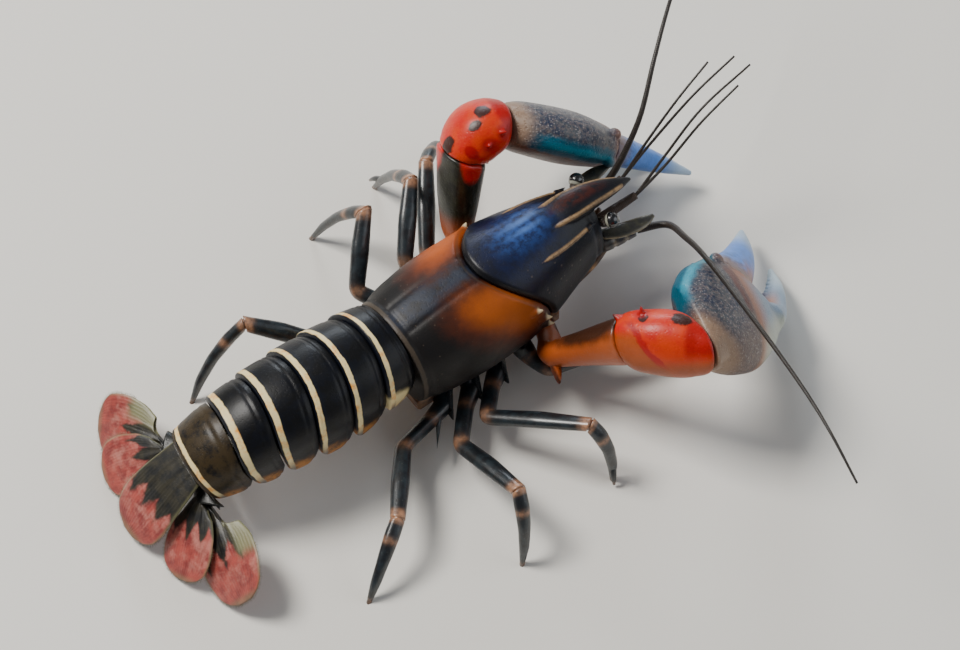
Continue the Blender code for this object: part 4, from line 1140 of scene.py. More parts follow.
@dataclass
class Carapace:
    """The two shields of the back: the thorax with its neck spines, and the head with its rostrum and ridges."""

    length: float = 44
    half_width: Curve = Curve((0, 10), (6, 11.4), (14, 12.1), (22, 11.8), (29, 10.6), (36, 8.5), (41, 6.9), (44, 5.9))
    top: Curve = Curve((0, 25.6), (10, 27.6), (22, 28.6), (34, 28.4), (40, 27.4), (44, 26.2))
    widest: Curve = Curve((0, 15.5), (25, 15), (44, 17))
    bottom: Curve = Curve((0, 7.5), (22, 7.5), (28, 8.6), (36, 10.2), (44, 11.6))
    upper_power: float = 2.2
    lower_power: float = 2.6
    groove_middle: float = 17.8
    groove_end: float = 29
    groove_spread: float = 100
    groove_depth: float = 0.7
    groove_half_width: float = 1.2
    rostrum_root: Place = (35, 0, 27.2)
    rostrum_tip: Place = (54.5, 0, 23.2)
    rostrum_half_width: float = 3.3
    rostrum_half_depth: float = 1.6
    rostrum_shape: tuple[Place, ...] = (
        (0, 0.9, 0.8), (0.25, 1, 1), (0.5, 0.83, 0.95), (0.7, 0.62, 0.8), (0.85, 0.4, 0.55), (1, 0.08, 0.12))
    ridge_radius: float = 0.38
    carina_start: Pair = (29, 3.3)
    postorbital: tuple[Pair, ...] = ((29.5, 6.3), (33.5, 6.1), (37.5, 5.5), (41.5, 4.6))
    neck_spines: tuple[Pair, ...] = ((70, 0.9), (84, 1), (97, 0.8))
    spine_length: float = 2.4
    spine_tip: float = 1.9
    thorax_voxel: float = 0.24
    head_voxel: float = 0.2

    def __post_init__(self) -> None:
        """Work out the angles round a ring and where the groove lies at each."""
        self.angle = 360 * np.arange(220) / 220
        self.seam = self.groove(self.angle)

    def heights(self, x: Array, upper: Array) -> tuple[Array, Array]:
        """Where the shell is widest at a station, and how far it reaches above or below that."""
        widest = self.widest(x)
        return widest, np.where(upper, self.top(x) - widest, widest - self.bottom(x))

    def point(self, x: Array, angle: Array, inset: Array | float = 0) -> Array:
        """Points on the shell at stations and angles from the middle of the back, in degrees.

        Args:
            x: The stations.
            angle: The angles.
            inset: How deep under the shell.

        Returns:
            The points.
        """
        turn = np.radians(angle)
        upper = np.cos(turn) > 0
        power = 2 / np.where(upper, self.upper_power, self.lower_power)
        widest, reach = self.heights(x, upper)
        across = (self.half_width(x) - inset) * signed_power(np.sin(turn), power)
        return np.stack([x + 0 * across, across, widest + (reach - inset) * signed_power(np.cos(turn), power)], -1)

    def top_at(self, x: float, y: float) -> Array:
        """The point on the back above a place."""
        rise = (1 - abs(y / self.half_width(x)) ** self.upper_power) ** (1 / self.upper_power)
        return vec(x, y, self.widest(x) + (self.top(x) - self.widest(x)) * rise)

    def groove(self, angle: Array) -> Array:
        """Where the neck groove lies at an angle from the middle of the back."""
        away = np.abs((angle + 180) % 360 - 180)
        return self.groove_middle + (self.groove_end - self.groove_middle) * ease(away / self.groove_spread)

    def chart(self, points: Array) -> tuple[Array, Array, Array]:
        """Station, angle and place of the groove for points near the shell."""
        x = np.clip(points[:, 0], 0, self.length)
        widest, reach = self.heights(x, points[:, 2] > self.widest(x))
        angle = np.degrees(np.arctan2(points[:, 1] / self.half_width(x), (points[:, 2] - widest) / reach))
        return x, angle, self.groove(angle)

    def thorax(self) -> tuple[Solid, list[Array]]:
        """The rear shield and the tips of its spines."""
        end = self.seam - GAP / 2
        rings = []
        for share in np.linspace(0, 1, 96):
            x = end * share
            across = self.point(x, self.angle)[:, 1]
            back = np.cos(np.radians(self.angle)) > 0.2
            furrows = np.where(back, 0.16 * bump_at(np.abs(across), 3.1, 0.45), 0) * ease(x / 3)
            inset = self.groove_depth * ease(1 - (end - x) / self.groove_half_width)
            rings.append(self.point(x, self.angle, inset + 0.2 * bump_at(x, 1.7, 0.5) + furrows))
        spines, tips = [], []
        for side in Side:
            for at, radius in self.neck_spines:
                turned = vec(side.value * at)
                foot = self.point(self.groove(turned) - 2.6, turned, 0.5)[0]
                outward = unit(vec(1.4, foot[1] / 12, (foot[2] - 15) / 12))
                spines.append(thorn(foot, outward, radius, self.spine_length))
                tips.append(foot + outward * self.spine_tip)
        return loft(rings).joined(*spines).blended(self.thorax_voxel), tips

    def rostrum_line(self) -> tuple[list[Array], list[Pair]]:
        """The rostrum's middle line and its half-widths and half-depths."""
        root, tip = vec(*self.rostrum_root), vec(*self.rostrum_tip)
        path, sizes = [], []
        for t, width, depth in self.rostrum_shape:
            sag = 1.9 * math.sin(math.pi * t) * (1 - 0.4 * t)
            path.append(root + (tip - root) * t + vec(0, 0, sag - 0.55))
            sizes.append((self.rostrum_half_width * width, self.rostrum_half_depth * depth))
        return path, sizes

    def ridges(self) -> list[Array]:
        """The middle lines of the ridges: a carina and a postorbital ridge for each side in turn."""
        path, sizes = self.rostrum_line()
        lines = []
        for side in Side:
            edge = [centre + vec(0, side.value * half * 0.82, depth * 0.5)
                    for centre, (half, depth) in zip(path[:-1], sizes[:-1])]
            x, y = self.carina_start
            edge.insert(0, self.top_at(x, side.value * y) - vec(0, 0, 0.35))
            edge[1] = self.top_at(edge[1][0], edge[1][1]) - vec(0, 0, 0.1)
            lines.append(densify(np.array(edge), 0.3, 1.2))
            lines.append(densify(np.array([self.top_at(x, side.value * y) for x, y in self.postorbital]), 0.3, 1))
        return lines

    def ridge(self, line: Array, postorbital: bool) -> list[Solid]:
        """A ridge that rises out of the shell, with a spine at the front of a postorbital one.

        Args:
            line: Its middle line.
            postorbital: Whether it is a postorbital one.

        Returns:
            Its solids.
        """
        shares = np.linspace(0, 1, len(line))
        rise_from, rise_over = (28, 6) if postorbital else (30, 9)
        thick = self.ridge_radius * ease(shares * 5 + 0.45) * (0.6 + 0.4 * ease((1 - shares) * 6))
        thick *= 0.2 + 0.8 * ease((line[:, 0] - rise_from) / rise_over)
        ahead = np.vstack([line[1:], line[-1:]]) - np.vstack([line[:1], line[:-1]])
        made = [loft([section(point, unit(way), vec(0, 1, 0), radius, radius, 16)
                      for point, way, radius in zip(line, ahead, thick)])]
        if postorbital:
            made.append(thorn(line[-1] - vec(0.6, 0, 0.1), vec(1, 0, 0.1), 0.7, 2.2))
        return made

    def head(self) -> tuple[Solid, list[Array]]:
        """The head shield with its rostrum, and the lines of its ridges."""
        start = self.seam + GAP / 2
        rings = []
        for share in np.linspace(0, 1, 110):
            x = start + (self.length - start) * share
            inset = self.groove_depth * ease(1 - (x - start) / self.groove_half_width)
            rings.append(self.point(x, self.angle, inset + 0.25 * bump_at(x, self.length - 1.6, 0.5)))
        for back, inset in ((0, 0.9), (0.8, 1.3)):
            rings.append(self.point(np.full_like(self.angle, self.length - back), self.angle, inset))
        parts = [limb(*self.rostrum_line(), vec(0, 1, 0), 48, 2.4, soften=1.2)]
        lines = self.ridges()
        for i, line in enumerate(lines):
            parts += self.ridge(line, bool(i % 2))
        return loft(rings).joined(*parts).blended(self.head_voxel), lines

    def build(self, shop: Workshop) -> None:
        """Make both shields.

        Args:
            shop: The workshop.
        """
        shell, tips = self.thorax()
        x, angle, groove = self.chart(shell.points)
        shop.stand("thorax_shield", shell, ThoraxFinish(), Slot.CARAPACE, "carapace_thorax",
                   np.column_stack([x, angle, groove - shell.points[:, 0]]),
                   1 - ease((nearness(shell.points, tips) - 0.5) / 0.7))
        shell, lines = self.head()
        x, y = shell.points[:, 0], shell.points[:, 1]
        close = np.full(len(x), 9)
        for i, line in enumerate(lines):
            fade = 1.2 * (1 - ease((x - (26 if i % 2 else 31)) / 6))
            close = np.minimum(close, nearness(shell.points, line) + fade)
        shop.stand("head_shield", shell, HeadFinish(), Slot.HEAD, "carapace_head",
                   np.column_stack([x, y, x - self.chart(shell.points)[2]]), 1 - ease((close - 0.26) / 0.3))


@dataclass
class Abdomen:
    """Six overlapping rings with side flaps and swimmerets, and the frame that the tail fan hangs on."""

    ring_ends: tuple[float, ...] = (6.8, 13.7, 20.6, 27.4, 34, 41.8)
    half_width: Curve = Curve((0, 9), (7, 9.8), (14, 10.2), (21, 9.9), (28, 9.3), (34, 8.6), (41.8, 7.2))
    dome: Curve = Curve((0, 8.6), (14, 9.4), (27, 8.8), (34, 7.6), (41.8, 5.6))
    flap_depth: Curve = Curve((0, 4.4), (7, 5.6), (14, 7.2), (27, 7.2), (34, 6.4), (41.8, 4.4))
    start: Place = (-GAP, 0.6, 18.2)
    pitch: float = 27
    pitch_from: float = 16
    yaw: float = 11
    hollow: float = 1.7
    outline: tuple[Pair, ...] = ((0.995, 0.4), (0.965, 0.8), (0.9, 1), (0.78, 0.88), (0.52, 0.62), (0, 0.5))
    scallop: Curve = Curve((0, 0.6), (0.18, 0.86), (0.45, 1), (0.78, 0.97), (0.95, 0.78), (1, 0.66))
    swell: Curve = Curve((0, -0.55), (0.18, -0.15), (0.45, 0), (0.78, 0.1), (0.95, 0.15), (1, -0.05))
    swimmeret: float = 6.5
    swimmeret_rings: tuple[int, ...] = (2, 3, 4, 5)
    finishes: tuple[AbdomenFinish, ...] = (
        AbdomenFinish(1.15, 0.44, 0, 0.9), AbdomenFinish(0.8, 0.44, 0, 0), AbdomenFinish(0.75, 0.44, 0, 0),
        AbdomenFinish(0.95, 0.44, 0, 0), AbdomenFinish(1.3, 0.44, 0, 0), AbdomenFinish(1.5, 0.32, 0.6, 0))

    def frame(self, distance: float) -> tuple[Array, Array, Array, Array]:
        """Centre and directions back, left and up at a distance behind the carapace.

        Args:
            distance: The distance along the abdomen.

        Returns:
            The four.
        """
        steps = 40
        centre = vec(*self.start)
        for i in range(steps + 1):
            s = distance * i / steps
            pitch = math.radians(self.pitch * ease((s - self.pitch_from) / (self.ring_ends[-1] - self.pitch_from)))
            yaw = math.radians(self.yaw * ease(s / self.ring_ends[-1]))
            back = trailing(pitch, yaw)
            if i < steps:
                centre = centre + back * distance / steps
        left = unit(np.cross((0, 0, 1), -back))
        return centre, back, left, np.cross(left, back)

    def ring(self, distance: float, scallop: float, swell: float) -> Array:
        """The outline of the abdomen at a distance, as a closed ring of points.

        Args:
            distance: The distance behind the carapace.
            scallop: The share of the flaps' depth.
            swell: How much wider and higher it is than the curves say.

        Returns:
            The points.
        """
        centre, back, left, up = self.frame(distance)
        half, dome = self.half_width(distance) + swell, self.dome(distance) + swell
        depth, belly = self.flap_depth(distance) * scallop, self.belly(distance)
        angle = np.linspace(0, math.pi / 2, 46)
        side = half * np.sin(angle) ** (2 / 2.1)
        high = dome * np.abs(np.cos(angle)) ** (2 / 2.1)
        flap = [(side[-1], high[-1], 0)]
        for out, down in self.outline:
            share = ease((out - 0.5) * 4)
            flap.append((half * out, -(depth * share + belly * 2 * (1 - share)) * down, 0))
        lower = densify(np.array(flap), 0.4, 0.5)
        pick = np.linspace(0, len(lower) - 1, 56)
        side, high = (np.concatenate([upper, np.interp(pick, np.arange(len(lower)), column)[1:]])
                      for upper, column in ((side, lower[:, 0]), (high, lower[:, 1])))
        side, high = np.concatenate([side, -side[-2:0:-1]]), np.concatenate([high, high[-2:0:-1]])
        hollow = self.hollow * ease(distance / self.ring_ends[0]) * (1 - ease((distance - self.ring_ends[-2]) / 6))
        forward = hollow * np.maximum(high / dome, 0) ** 2
        return centre + np.outer(side, left) + np.outer(high, up) - np.outer(forward, back)

    def belly(self, distance: float) -> float:
        """How far the belly lies below the frame's centre."""
        return self.flap_depth(distance) * self.outline[-1][1]

    def paddles(self, distance: float) -> list[Solid]:
        """A pair of small flat swimmerets under the belly.

        Args:
            distance: Where they hang.

        Returns:
            The two.
        """
        centre, back, left, up = self.frame(distance)
        made = []
        for side in Side:
            root = centre + left * side.value * 3.6 - up * (self.belly(distance) - 1.2)
            way = back * self.swimmeret * 0.45 + left * side.value * 0.8 - up * self.swimmeret * 0.62
            made.append(limb([root + way * t for t in (0, 0.4, 0.75, 1)],
                             [(0.8, 0.55), (0.8, 0.5), (1, 0.45), (0.45, 0.3)], left, 20))
        return made

    def build(self, shop: Workshop) -> None:
        """Make the rings.

        Args:
            shop: The workshop.
        """
        starts = (-GAP / 2, *self.ring_ends)
        for number, (start, end, finish) in enumerate(zip(starts, self.ring_ends, self.finishes), 1):
            first, last = start + GAP / 2, end - GAP / 2
            shares = np.linspace(0, 1, 54)
            rings = []
            for t in ease(shares) * 0.35 + shares * 0.65:
                hem = 0.05 * bump_at(t, 0.93, 0.03) - 0.1 * bump_at(t, 0.22, 0.05)
                rings.append(self.ring(first + (last - first) * t, self.scallop(t), self.swell(t) + hem))
            shell = loft(rings)
            centre, _, left, up = self.frame((first + last) / 2)
            rise = (shell.points - centre) @ up
            chart = np.column_stack([(1 - shell.along) * (last - first),
                                     rise / np.where(rise > 0, self.dome(end), self.flap_depth(end)),
                                     (shell.points - centre) @ left])
            if number in self.swimmeret_rings:
                shell = shell.joined(*self.paddles(first + (end - start - GAP) * 0.45))
                chart = np.vstack([chart, np.tile((4, -0.6, 0), (len(shell.points) - len(chart), 1))])
            shop.stand(f"abdomen_ring_{number}", shell, finish, Slot.ABDOMEN, f"abdomen_{number}", chart)


@dataclass
class Blade:
    """A fan blade to be made: its middle line, its half-width and half-thickness at each point, its root's normal."""

    path: Array
    halves: Array
    thin: Array
    face: Array


@dataclass
class TailFan:
    """The telson over two pairs of blades, each with a soft fringe.

    A uropod is where its blade starts and ends across and along the fan, its half-width and its level.
    """

    abdomen: Abdomen
    pitch: float = 44
    yaw: float = 3
    level: float = 1.45
    half_thickness: float = 0.5
    telson_length: float = 18.5
    telson_half_width: float = 6.5
    telson_shape: Curve = Curve((0, 0.78), (0.4, 0.94), (0.65, 1), (0.83, 0.92), (0.94, 0.66), (1, 0.3))
    base_root: Pair = (4.2, -1.9)
    base_end: Pair = (7.2, 3.4)
    inner: tuple[Pair, Pair, float, float] = ((6.3, 3.8), (13.4, 17), 5.7, -1.2)
    outer: dict[Side, tuple[Pair, Pair, float, float]] = field(default_factory=lambda: {
        Side.LEFT: ((8.9, 3.8), (22, 12.3), 6.6, -2.35), Side.RIGHT: ((8.9, 3.8), (25.6, 9.8), 6.9, -2.35)})
    shape: Curve = Curve((0, 0.32), (0.16, 0.6), (0.4, 0.9), (0.65, 1), (0.83, 0.92), (0.94, 0.66), (1, 0.3))
    trim: float = 0.965
    hair: float = 0.75
    hairs: PlainFinish = PlainFinish("fan_fringe", srgb(112, 104, 78), srgb(140, 128, 96),
                                     gloss=Gloss(coat=0, relief=0.01))
    foot: PlainFinish = PlainFinish("uropod_foot", srgb(24, 26, 22), srgb(12, 14, 12), gloss=Gloss(coat=0.05))

    def __post_init__(self) -> None:
        """Work out the origin of the fan's plane and its directions left, back and up."""
        centre, _, _, up = self.abdomen.frame(self.abdomen.ring_ends[-1])
        self.along = trailing(math.radians(self.pitch), math.radians(self.yaw))
        self.side = unit(np.cross((0, 0, 1), -self.along))
        self.up = np.cross(self.side, self.along)
        self.origin = centre + up * 1.6
        self.shares = np.linspace(0, 1, 70)

    def blade(self, line: Blade) -> tuple[Solid, Array]:
        """A blade with its ribs.

        Args:
            line: What to make.

        Returns:
            The blade, and its chart: share of the length, of the width and nearness to the edge.
        """
        sides, power = 120, 2.6
        angle = math.tau * (np.arange(sides) + 0.5) / sides
        share = signed_power(np.cos(angle), 2 / power)
        ribs = 0.28 * bump_at(share, 0, 0.09) + 0.1 * bump_at(np.abs(share), 0.42, 0.06)
        rings = []
        for t, centre, heading, half, depth in zip(self.shares, line.path, headings(line.path), line.halves, line.thin):
            tilt = heading + (line.face - heading) * max(0, 1 - t * 6)
            upper = np.sin(angle) * np.sign(np.cross(heading, self.side) @ self.up) > 0
            rings.append(section(centre, heading, self.side, half, depth, sides, power, tilt)
                         + np.outer(np.where(upper, ribs, 0) * (1 - t) ** 0.7, self.up))
        solid = loft(rings)
        across = np.concatenate([np.tile(share, len(rings)), [0, 0]])
        return solid, np.column_stack([solid.along, across, np.maximum(np.abs(across), solid.along)])

    def fringe(self, line: Blade, start: float, seed: int) -> Solid:
        """Fine hairs round the outer edge of a blade.

        Args:
            line: The blade.
            start: The share of its length where the hairs begin.
            seed: Which hairs lean which way.

        Returns:
            The hairs, each a slim blade of its own.
        """
        path, heading = line.path, headings(line.path)
        across = unit(self.side - heading * (heading @ self.side)[:, None]) * line.halves[:, None]
        first = int(start * (len(path) - 1))
        edge = densify(np.vstack([(path - across)[first:], (path + across)[first:][::-1]]), 0.11, 0.25)
        tangent = headings(edge)
        out = np.cross(tangent, self.up)
        out *= -1 if out[len(out) // 2] @ heading[-1] < 0 else 1
        luck = np.random.default_rng(seed)
        points, faces = [], []
        for n, (root, away, run) in enumerate(zip(edge, out, tangent)):
            length = self.hair * luck.uniform(0.6, 1)
            lean = run * luck.normal(0, 0.18) + self.up * luck.normal(0, 0.12)
            tip = root + (away + lean) * length
            tip[2] = max(tip[2], 0)
            foot = root - away * 0.35
            points += [foot - run * 0.05, foot + run * 0.05, foot + self.up * 0.08, tip]
            faces += [tuple(4 * n + i for i in corners) for corners in ((0, 2, 3), (2, 1, 3), (1, 0, 3), (0, 1, 2))]
        return Solid(np.array(points), faces, np.tile((0, 0, 0, 1), len(edge)), np.zeros(len(points)))

    def hang(self, shop: Workshop, name: str, finish: FanFinish, line: Blade, hairs_from: float, seed: int) -> None:
        """Make a blade and its fringe.

        Args:
            shop: The workshop.
            name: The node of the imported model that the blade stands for.
            finish: The blade's finish.
            line: The blade's line and sizes.
            hairs_from: The share of its length where the fringe begins.
            seed: Which hairs lean which way.
        """
        blade, chart = self.blade(line)
        shop.stand(f"{name}_blade", blade, finish, Slot.FAN, name, chart)
        shop.stand(f"{name}_fringe", self.fringe(line, hairs_from, seed), self.hairs, Slot.FAN)

    def build(self, shop: Workshop) -> None:
        """Make the telson, the blades and their bases.

        Args:
            shop: The workshop.
        """
        centre, back, left, up = self.abdomen.frame(self.abdomen.ring_ends[-1])
        shares, arch = self.shares, np.sin(math.pi * self.shares)
        path = (self.origin + back * GAP + np.outer(self.telson_length * self.trim * shares, self.along)
                + np.outer(arch + 0.35 * self.level, self.up))
        telson = Blade(path, self.telson_half_width * self.telson_shape(shares) * self.trim,
                       self.half_thickness * (1.5 - 0.8 * shares), back)
        self.hang(shop, "telson", FanFinish("telson", 0.56, 0.1), telson, 0.55, 5)
        for hand in Side:
            sign, name = hand.value, f"uropod_{hand.word}"
            root = centre + left * sign * self.base_root[0] + up * self.base_root[1] + back * GAP
            end = (self.origin + self.side * sign * self.base_end[0] + self.along * self.base_end[1]
                   - self.up * self.level * 1.75)
            base = limb([root, end], [(2, 1), (2.9, 1.5)], self.side, 36, 2.4, back, self.along, soften=0.1)
            shop.stand(f"{name}_foot", base, self.foot, Slot.FAN, f"{name}_base")
            for kind, border, margin_side, (start, tip, half, level) in (
                    ("inner", 0.36, 0, self.inner), ("outer", 0.45, sign, self.outer[hand])):
                first, last = vec(sign * start[0], start[1]), vec(sign * tip[0], tip[1])
                flat = first + np.outer(self.trim * shares, last - first)
                path = (self.origin + flat @ np.array([self.side, self.along])
                        + np.outer(level * self.level + 0.5 * arch, self.up))
                line = Blade(path, half * self.shape(shares) * self.trim,
                             self.half_thickness * (1.15 - 0.5 * shares), self.along)
                self.hang(shop, f"{name}_{kind}", FanFinish(f"{kind}_{hand.word}", border, margin_side=margin_side),
                          line, 0.5, 16 + 2 * sign)


@dataclass
class Face:
    """Eyes, feelers, scales and mouth legs at the front of the head."""

    front: float = 44 + GAP
    eye_root: Pair = (3.9, 22.4)
    eye_end: Place = (45.8, 5, 23.2)
    eye_radius: float = 1.5
    stem_root: Pair = (3.9, 15)
    scale: tuple[Place, ...] = (
        (44.3, 4.6, 19), (47.2, 5.9, 19), (50.4, 6.6, 18.7), (53.2, 6.8, 18.3), (54.8, 6.6, 18.1))
    small_root: Pair = (1.7, 18.8)
    mouth: tuple[Place, ...] = (
        (33.3, 2.7, 5.7), (38, 3, 6.2), (43.5, 3, 8.2), (47.5, 2.6, 11.2), (49.4, 2.3, 14))
    feeler_radius: Pair = (0.75, 0.22)
    small_radius: Pair = (0.36, 0.2)
    feelers: dict[Side, tuple[Place, ...]] = field(default_factory=lambda: {
        Side.RIGHT: ((51.6, -5.6, 14.8), (56.5, -8.6, 15.8), (56, -14.4, 19.6), (54, -23.2, 25.4),
                     (49.8, -42.6, 33), (47, -58.6, 36), (45, -68.9, 36.5), (43.4, -78.4, 34)),
        Side.LEFT: ((50.2, 4.1, 16.9), (53, 3.9, 19.6), (56.2, 4.2, 24), (61.6, 6.3, 30), (68.8, 11.8, 35),
                    (77.8, 18.7, 38), (89, 26.8, 38.5), (99, 33.5, 36.5)),
    })
    branches: dict[Side, tuple[tuple[Place, ...], ...]] = field(default_factory=lambda: {
        Side.RIGHT: (((54, -2.3, 20.3), (60.4, -2.7, 25), (68.5, -2.5, 31.5), (77.2, -2.2, 35.6)),
                     ((54, -2.3, 20.3), (61, -1.6, 26), (70, -0.8, 32.8), (81.3, -0.4, 36.5))),
        Side.LEFT: (((54, 1.9, 20.6), (60, 2.5, 26.6), (67.5, 3.4, 32.6), (75.5, 4.6, 36.6)),
                    ((54, 1.9, 20.6), (60.6, 1.8, 26.8), (69.8, 1.6, 34.4), (79.4, 1.9, 38.2))),
    })
    stem: PlainFinish = PlainFinish("feeler_stem", srgb(40, 40, 48), srgb(70, 64, 58), accent=srgb(176, 160, 132))
    brush: PlainFinish = PlainFinish("scale_shell", srgb(58, 56, 44), srgb(34, 34, 32), accent=srgb(170, 156, 120))
    jaw: PlainFinish = PlainFinish("mouth_leg_shell", srgb(92, 62, 42), srgb(60, 44, 34), accent=srgb(196, 150, 100))

    def at_front(self, side: Side, place: Pair) -> Array:
        """A place on the front of the head."""
        return vec(self.front, side.value * place[0], place[1])

    def grown(self, path: Sequence[Array], sizes: Sequence[Pair], sides: int, power: float = 2.1,
              end_face: Array | None = None, **grain: float) -> Solid:
        """A limb that starts on the flat front of the head."""
        return limb(path, sizes, vec(0, 1, 0), sides, power, vec(1, 0, 0), end_face, **grain)

    def thread(self, points: Sequence[Sequence[float]], radii: Pair, steps: int) -> tuple[Solid, float]:
        """A tapered feeler through points, and its length.

        Args:
            points: The points it passes.
            radii: Its radius at the root and at the tip.
            steps: Samples to each stretch of the curve.

        Returns:
            The feeler and its length.
        """
        path = smooth_path(points, steps)
        rows = densify(np.column_stack([path, np.linspace(*radii, len(path))]), 0.5, 0.3)
        rings = [section(row[:3], heading, vec(0.1, 0.2, 1), row[3], row[3], 14)
                 for row, heading in zip(rows, headings(rows[:, :3]))]
        return loft(rings), float(lengths(rows[:, :3]).sum())

    def eye(self, shop: Workshop, side: Side) -> None:
        """Make an eye on its stalk.

        Args:
            shop: The workshop.
            side: Its side.
        """
        root, end = self.at_front(side, self.eye_root), np.array(self.eye_end) * (1, side.value, 1)
        middle = end + vec(0.3, 0.25 * side.value, 0.1)
        stalk = self.grown([root, end], [(1, 1), (1.1, 1.1)], 24, step=0.15, soften=0.1)
        eye = knob(middle, self.eye_radius).joined(stalk).blended(0.09, 3)
        nothing = np.zeros(len(eye.points))
        shop.stand(f"eye_{side.word}_globe", eye, EyeFinish(), Slot.EYE, f"eye_{side.word}",
                   np.column_stack([(eye.points - middle) @ unit(middle - root) / self.eye_radius, nothing, nothing]))

    def feeler(self, shop: Workshop, side: Side) -> None:
        """Make a long feeler: its jointed stem and its whip.

        Args:
            shop: The workshop.
            side: Its side.
        """
        root, points = self.at_front(side, self.stem_root), np.array(self.feelers[side])
        reach, start = points[0] - root, unit(points[1] - points[0])
        stem = self.grown([root, root + reach * 0.35, root + reach * 0.7, points[0]],
                          [(2, 1.8), (1.9, 1.7), (1.5, 1.4), (1.15, 1.1)], 36, 2, start)
        pinch = 1 - 0.14 * (bump_at(stem.along, 0.36, 0.03) + bump_at(stem.along, 0.7, 0.03))
        line = root + np.outer(stem.along, reach)
        stem.points = line + (stem.points - line) * pinch[:, None]
        joints = bump_at(stem.along, 0.36, 0.06) + bump_at(stem.along, 0.7, 0.06)
        shop.stand(f"feeler_{side.word}_stem", stem, self.stem, Slot.FEELER, f"antenna_{side.word}_peduncle",
                   accent=np.clip(joints, 0, 1) * 0.8)
        whip, length = self.thread([points[0] + start * GAP, *points[1:]], self.feeler_radius, 12)
        shop.stand(f"feeler_{side.word}_whip", whip, FeelerFinish(), Slot.FEELER, f"antenna_{side.word}_feeler",
                   np.column_stack([whip.along * length, whip.turn, whip.along]))

    def small_feelers(self, shop: Workshop, side: Side) -> None:
        """Make a short feeler with its two threads.

        Args:
            shop: The workshop.
            side: Its side.
        """
        root, tip = self.at_front(side, self.small_root), np.array(self.branches[side][0][0])
        stem = self.grown([root, (root + tip) / 2, tip], [(1.05, 1), (0.95, 0.9), (0.75, 0.7)], 24, 2)
        threads = [self.thread([root + (tip - root) * 0.8, *branch], self.small_radius, 8)[0]
                   for branch in self.branches[side]]
        small = stem.joined(*threads)
        on_stem = np.arange(len(small.points)) < len(stem.points)
        shop.stand(f"small_feelers_{side.word}", small, FeelerFinish(), Slot.FEELER, f"antennule_{side.word}",
                   np.column_stack([small.points[:, 0] * 1.2, small.turn, small.along]), on_stem * 0.7)

    def build(self, shop: Workshop) -> None:
        """Make all that grows from the front of the head.

        Args:
            shop: The workshop.
        """
        for side in Side:
            flip = (1, side.value, 1)
            self.eye(shop, side)
            self.feeler(shop, side)
            plate = self.grown(np.array(self.scale) * flip,
                               [(1, 0.45), (1.5, 0.5), (1.5, 0.45), (1.1, 0.4), (0.35, 0.28)], 40, 2.4)
            shop.stand(f"feeler_{side.word}_scale", plate, self.brush, Slot.FEELER, f"antennal_scale_{side.word}",
                       accent=np.abs(np.cos(plate.turn * math.tau)) ** 6)
            self.small_feelers(shop, side)
            leg = self.grown(np.array(self.mouth) * flip,
                             [(1.8, 1.1), (1.7, 1.2), (1.4, 1.1), (1.1, 0.9), (0.4, 0.35)], 32)
            marks = bump_at(leg.along, 0.53, 0.05) + bump_at(leg.along, 0.78, 0.05)
            shop.stand(f"mouth_leg_{side.word}", leg, self.jaw, Slot.MOUTH, f"maxilliped_{side.word}",
                       accent=np.clip(marks, 0, 1))


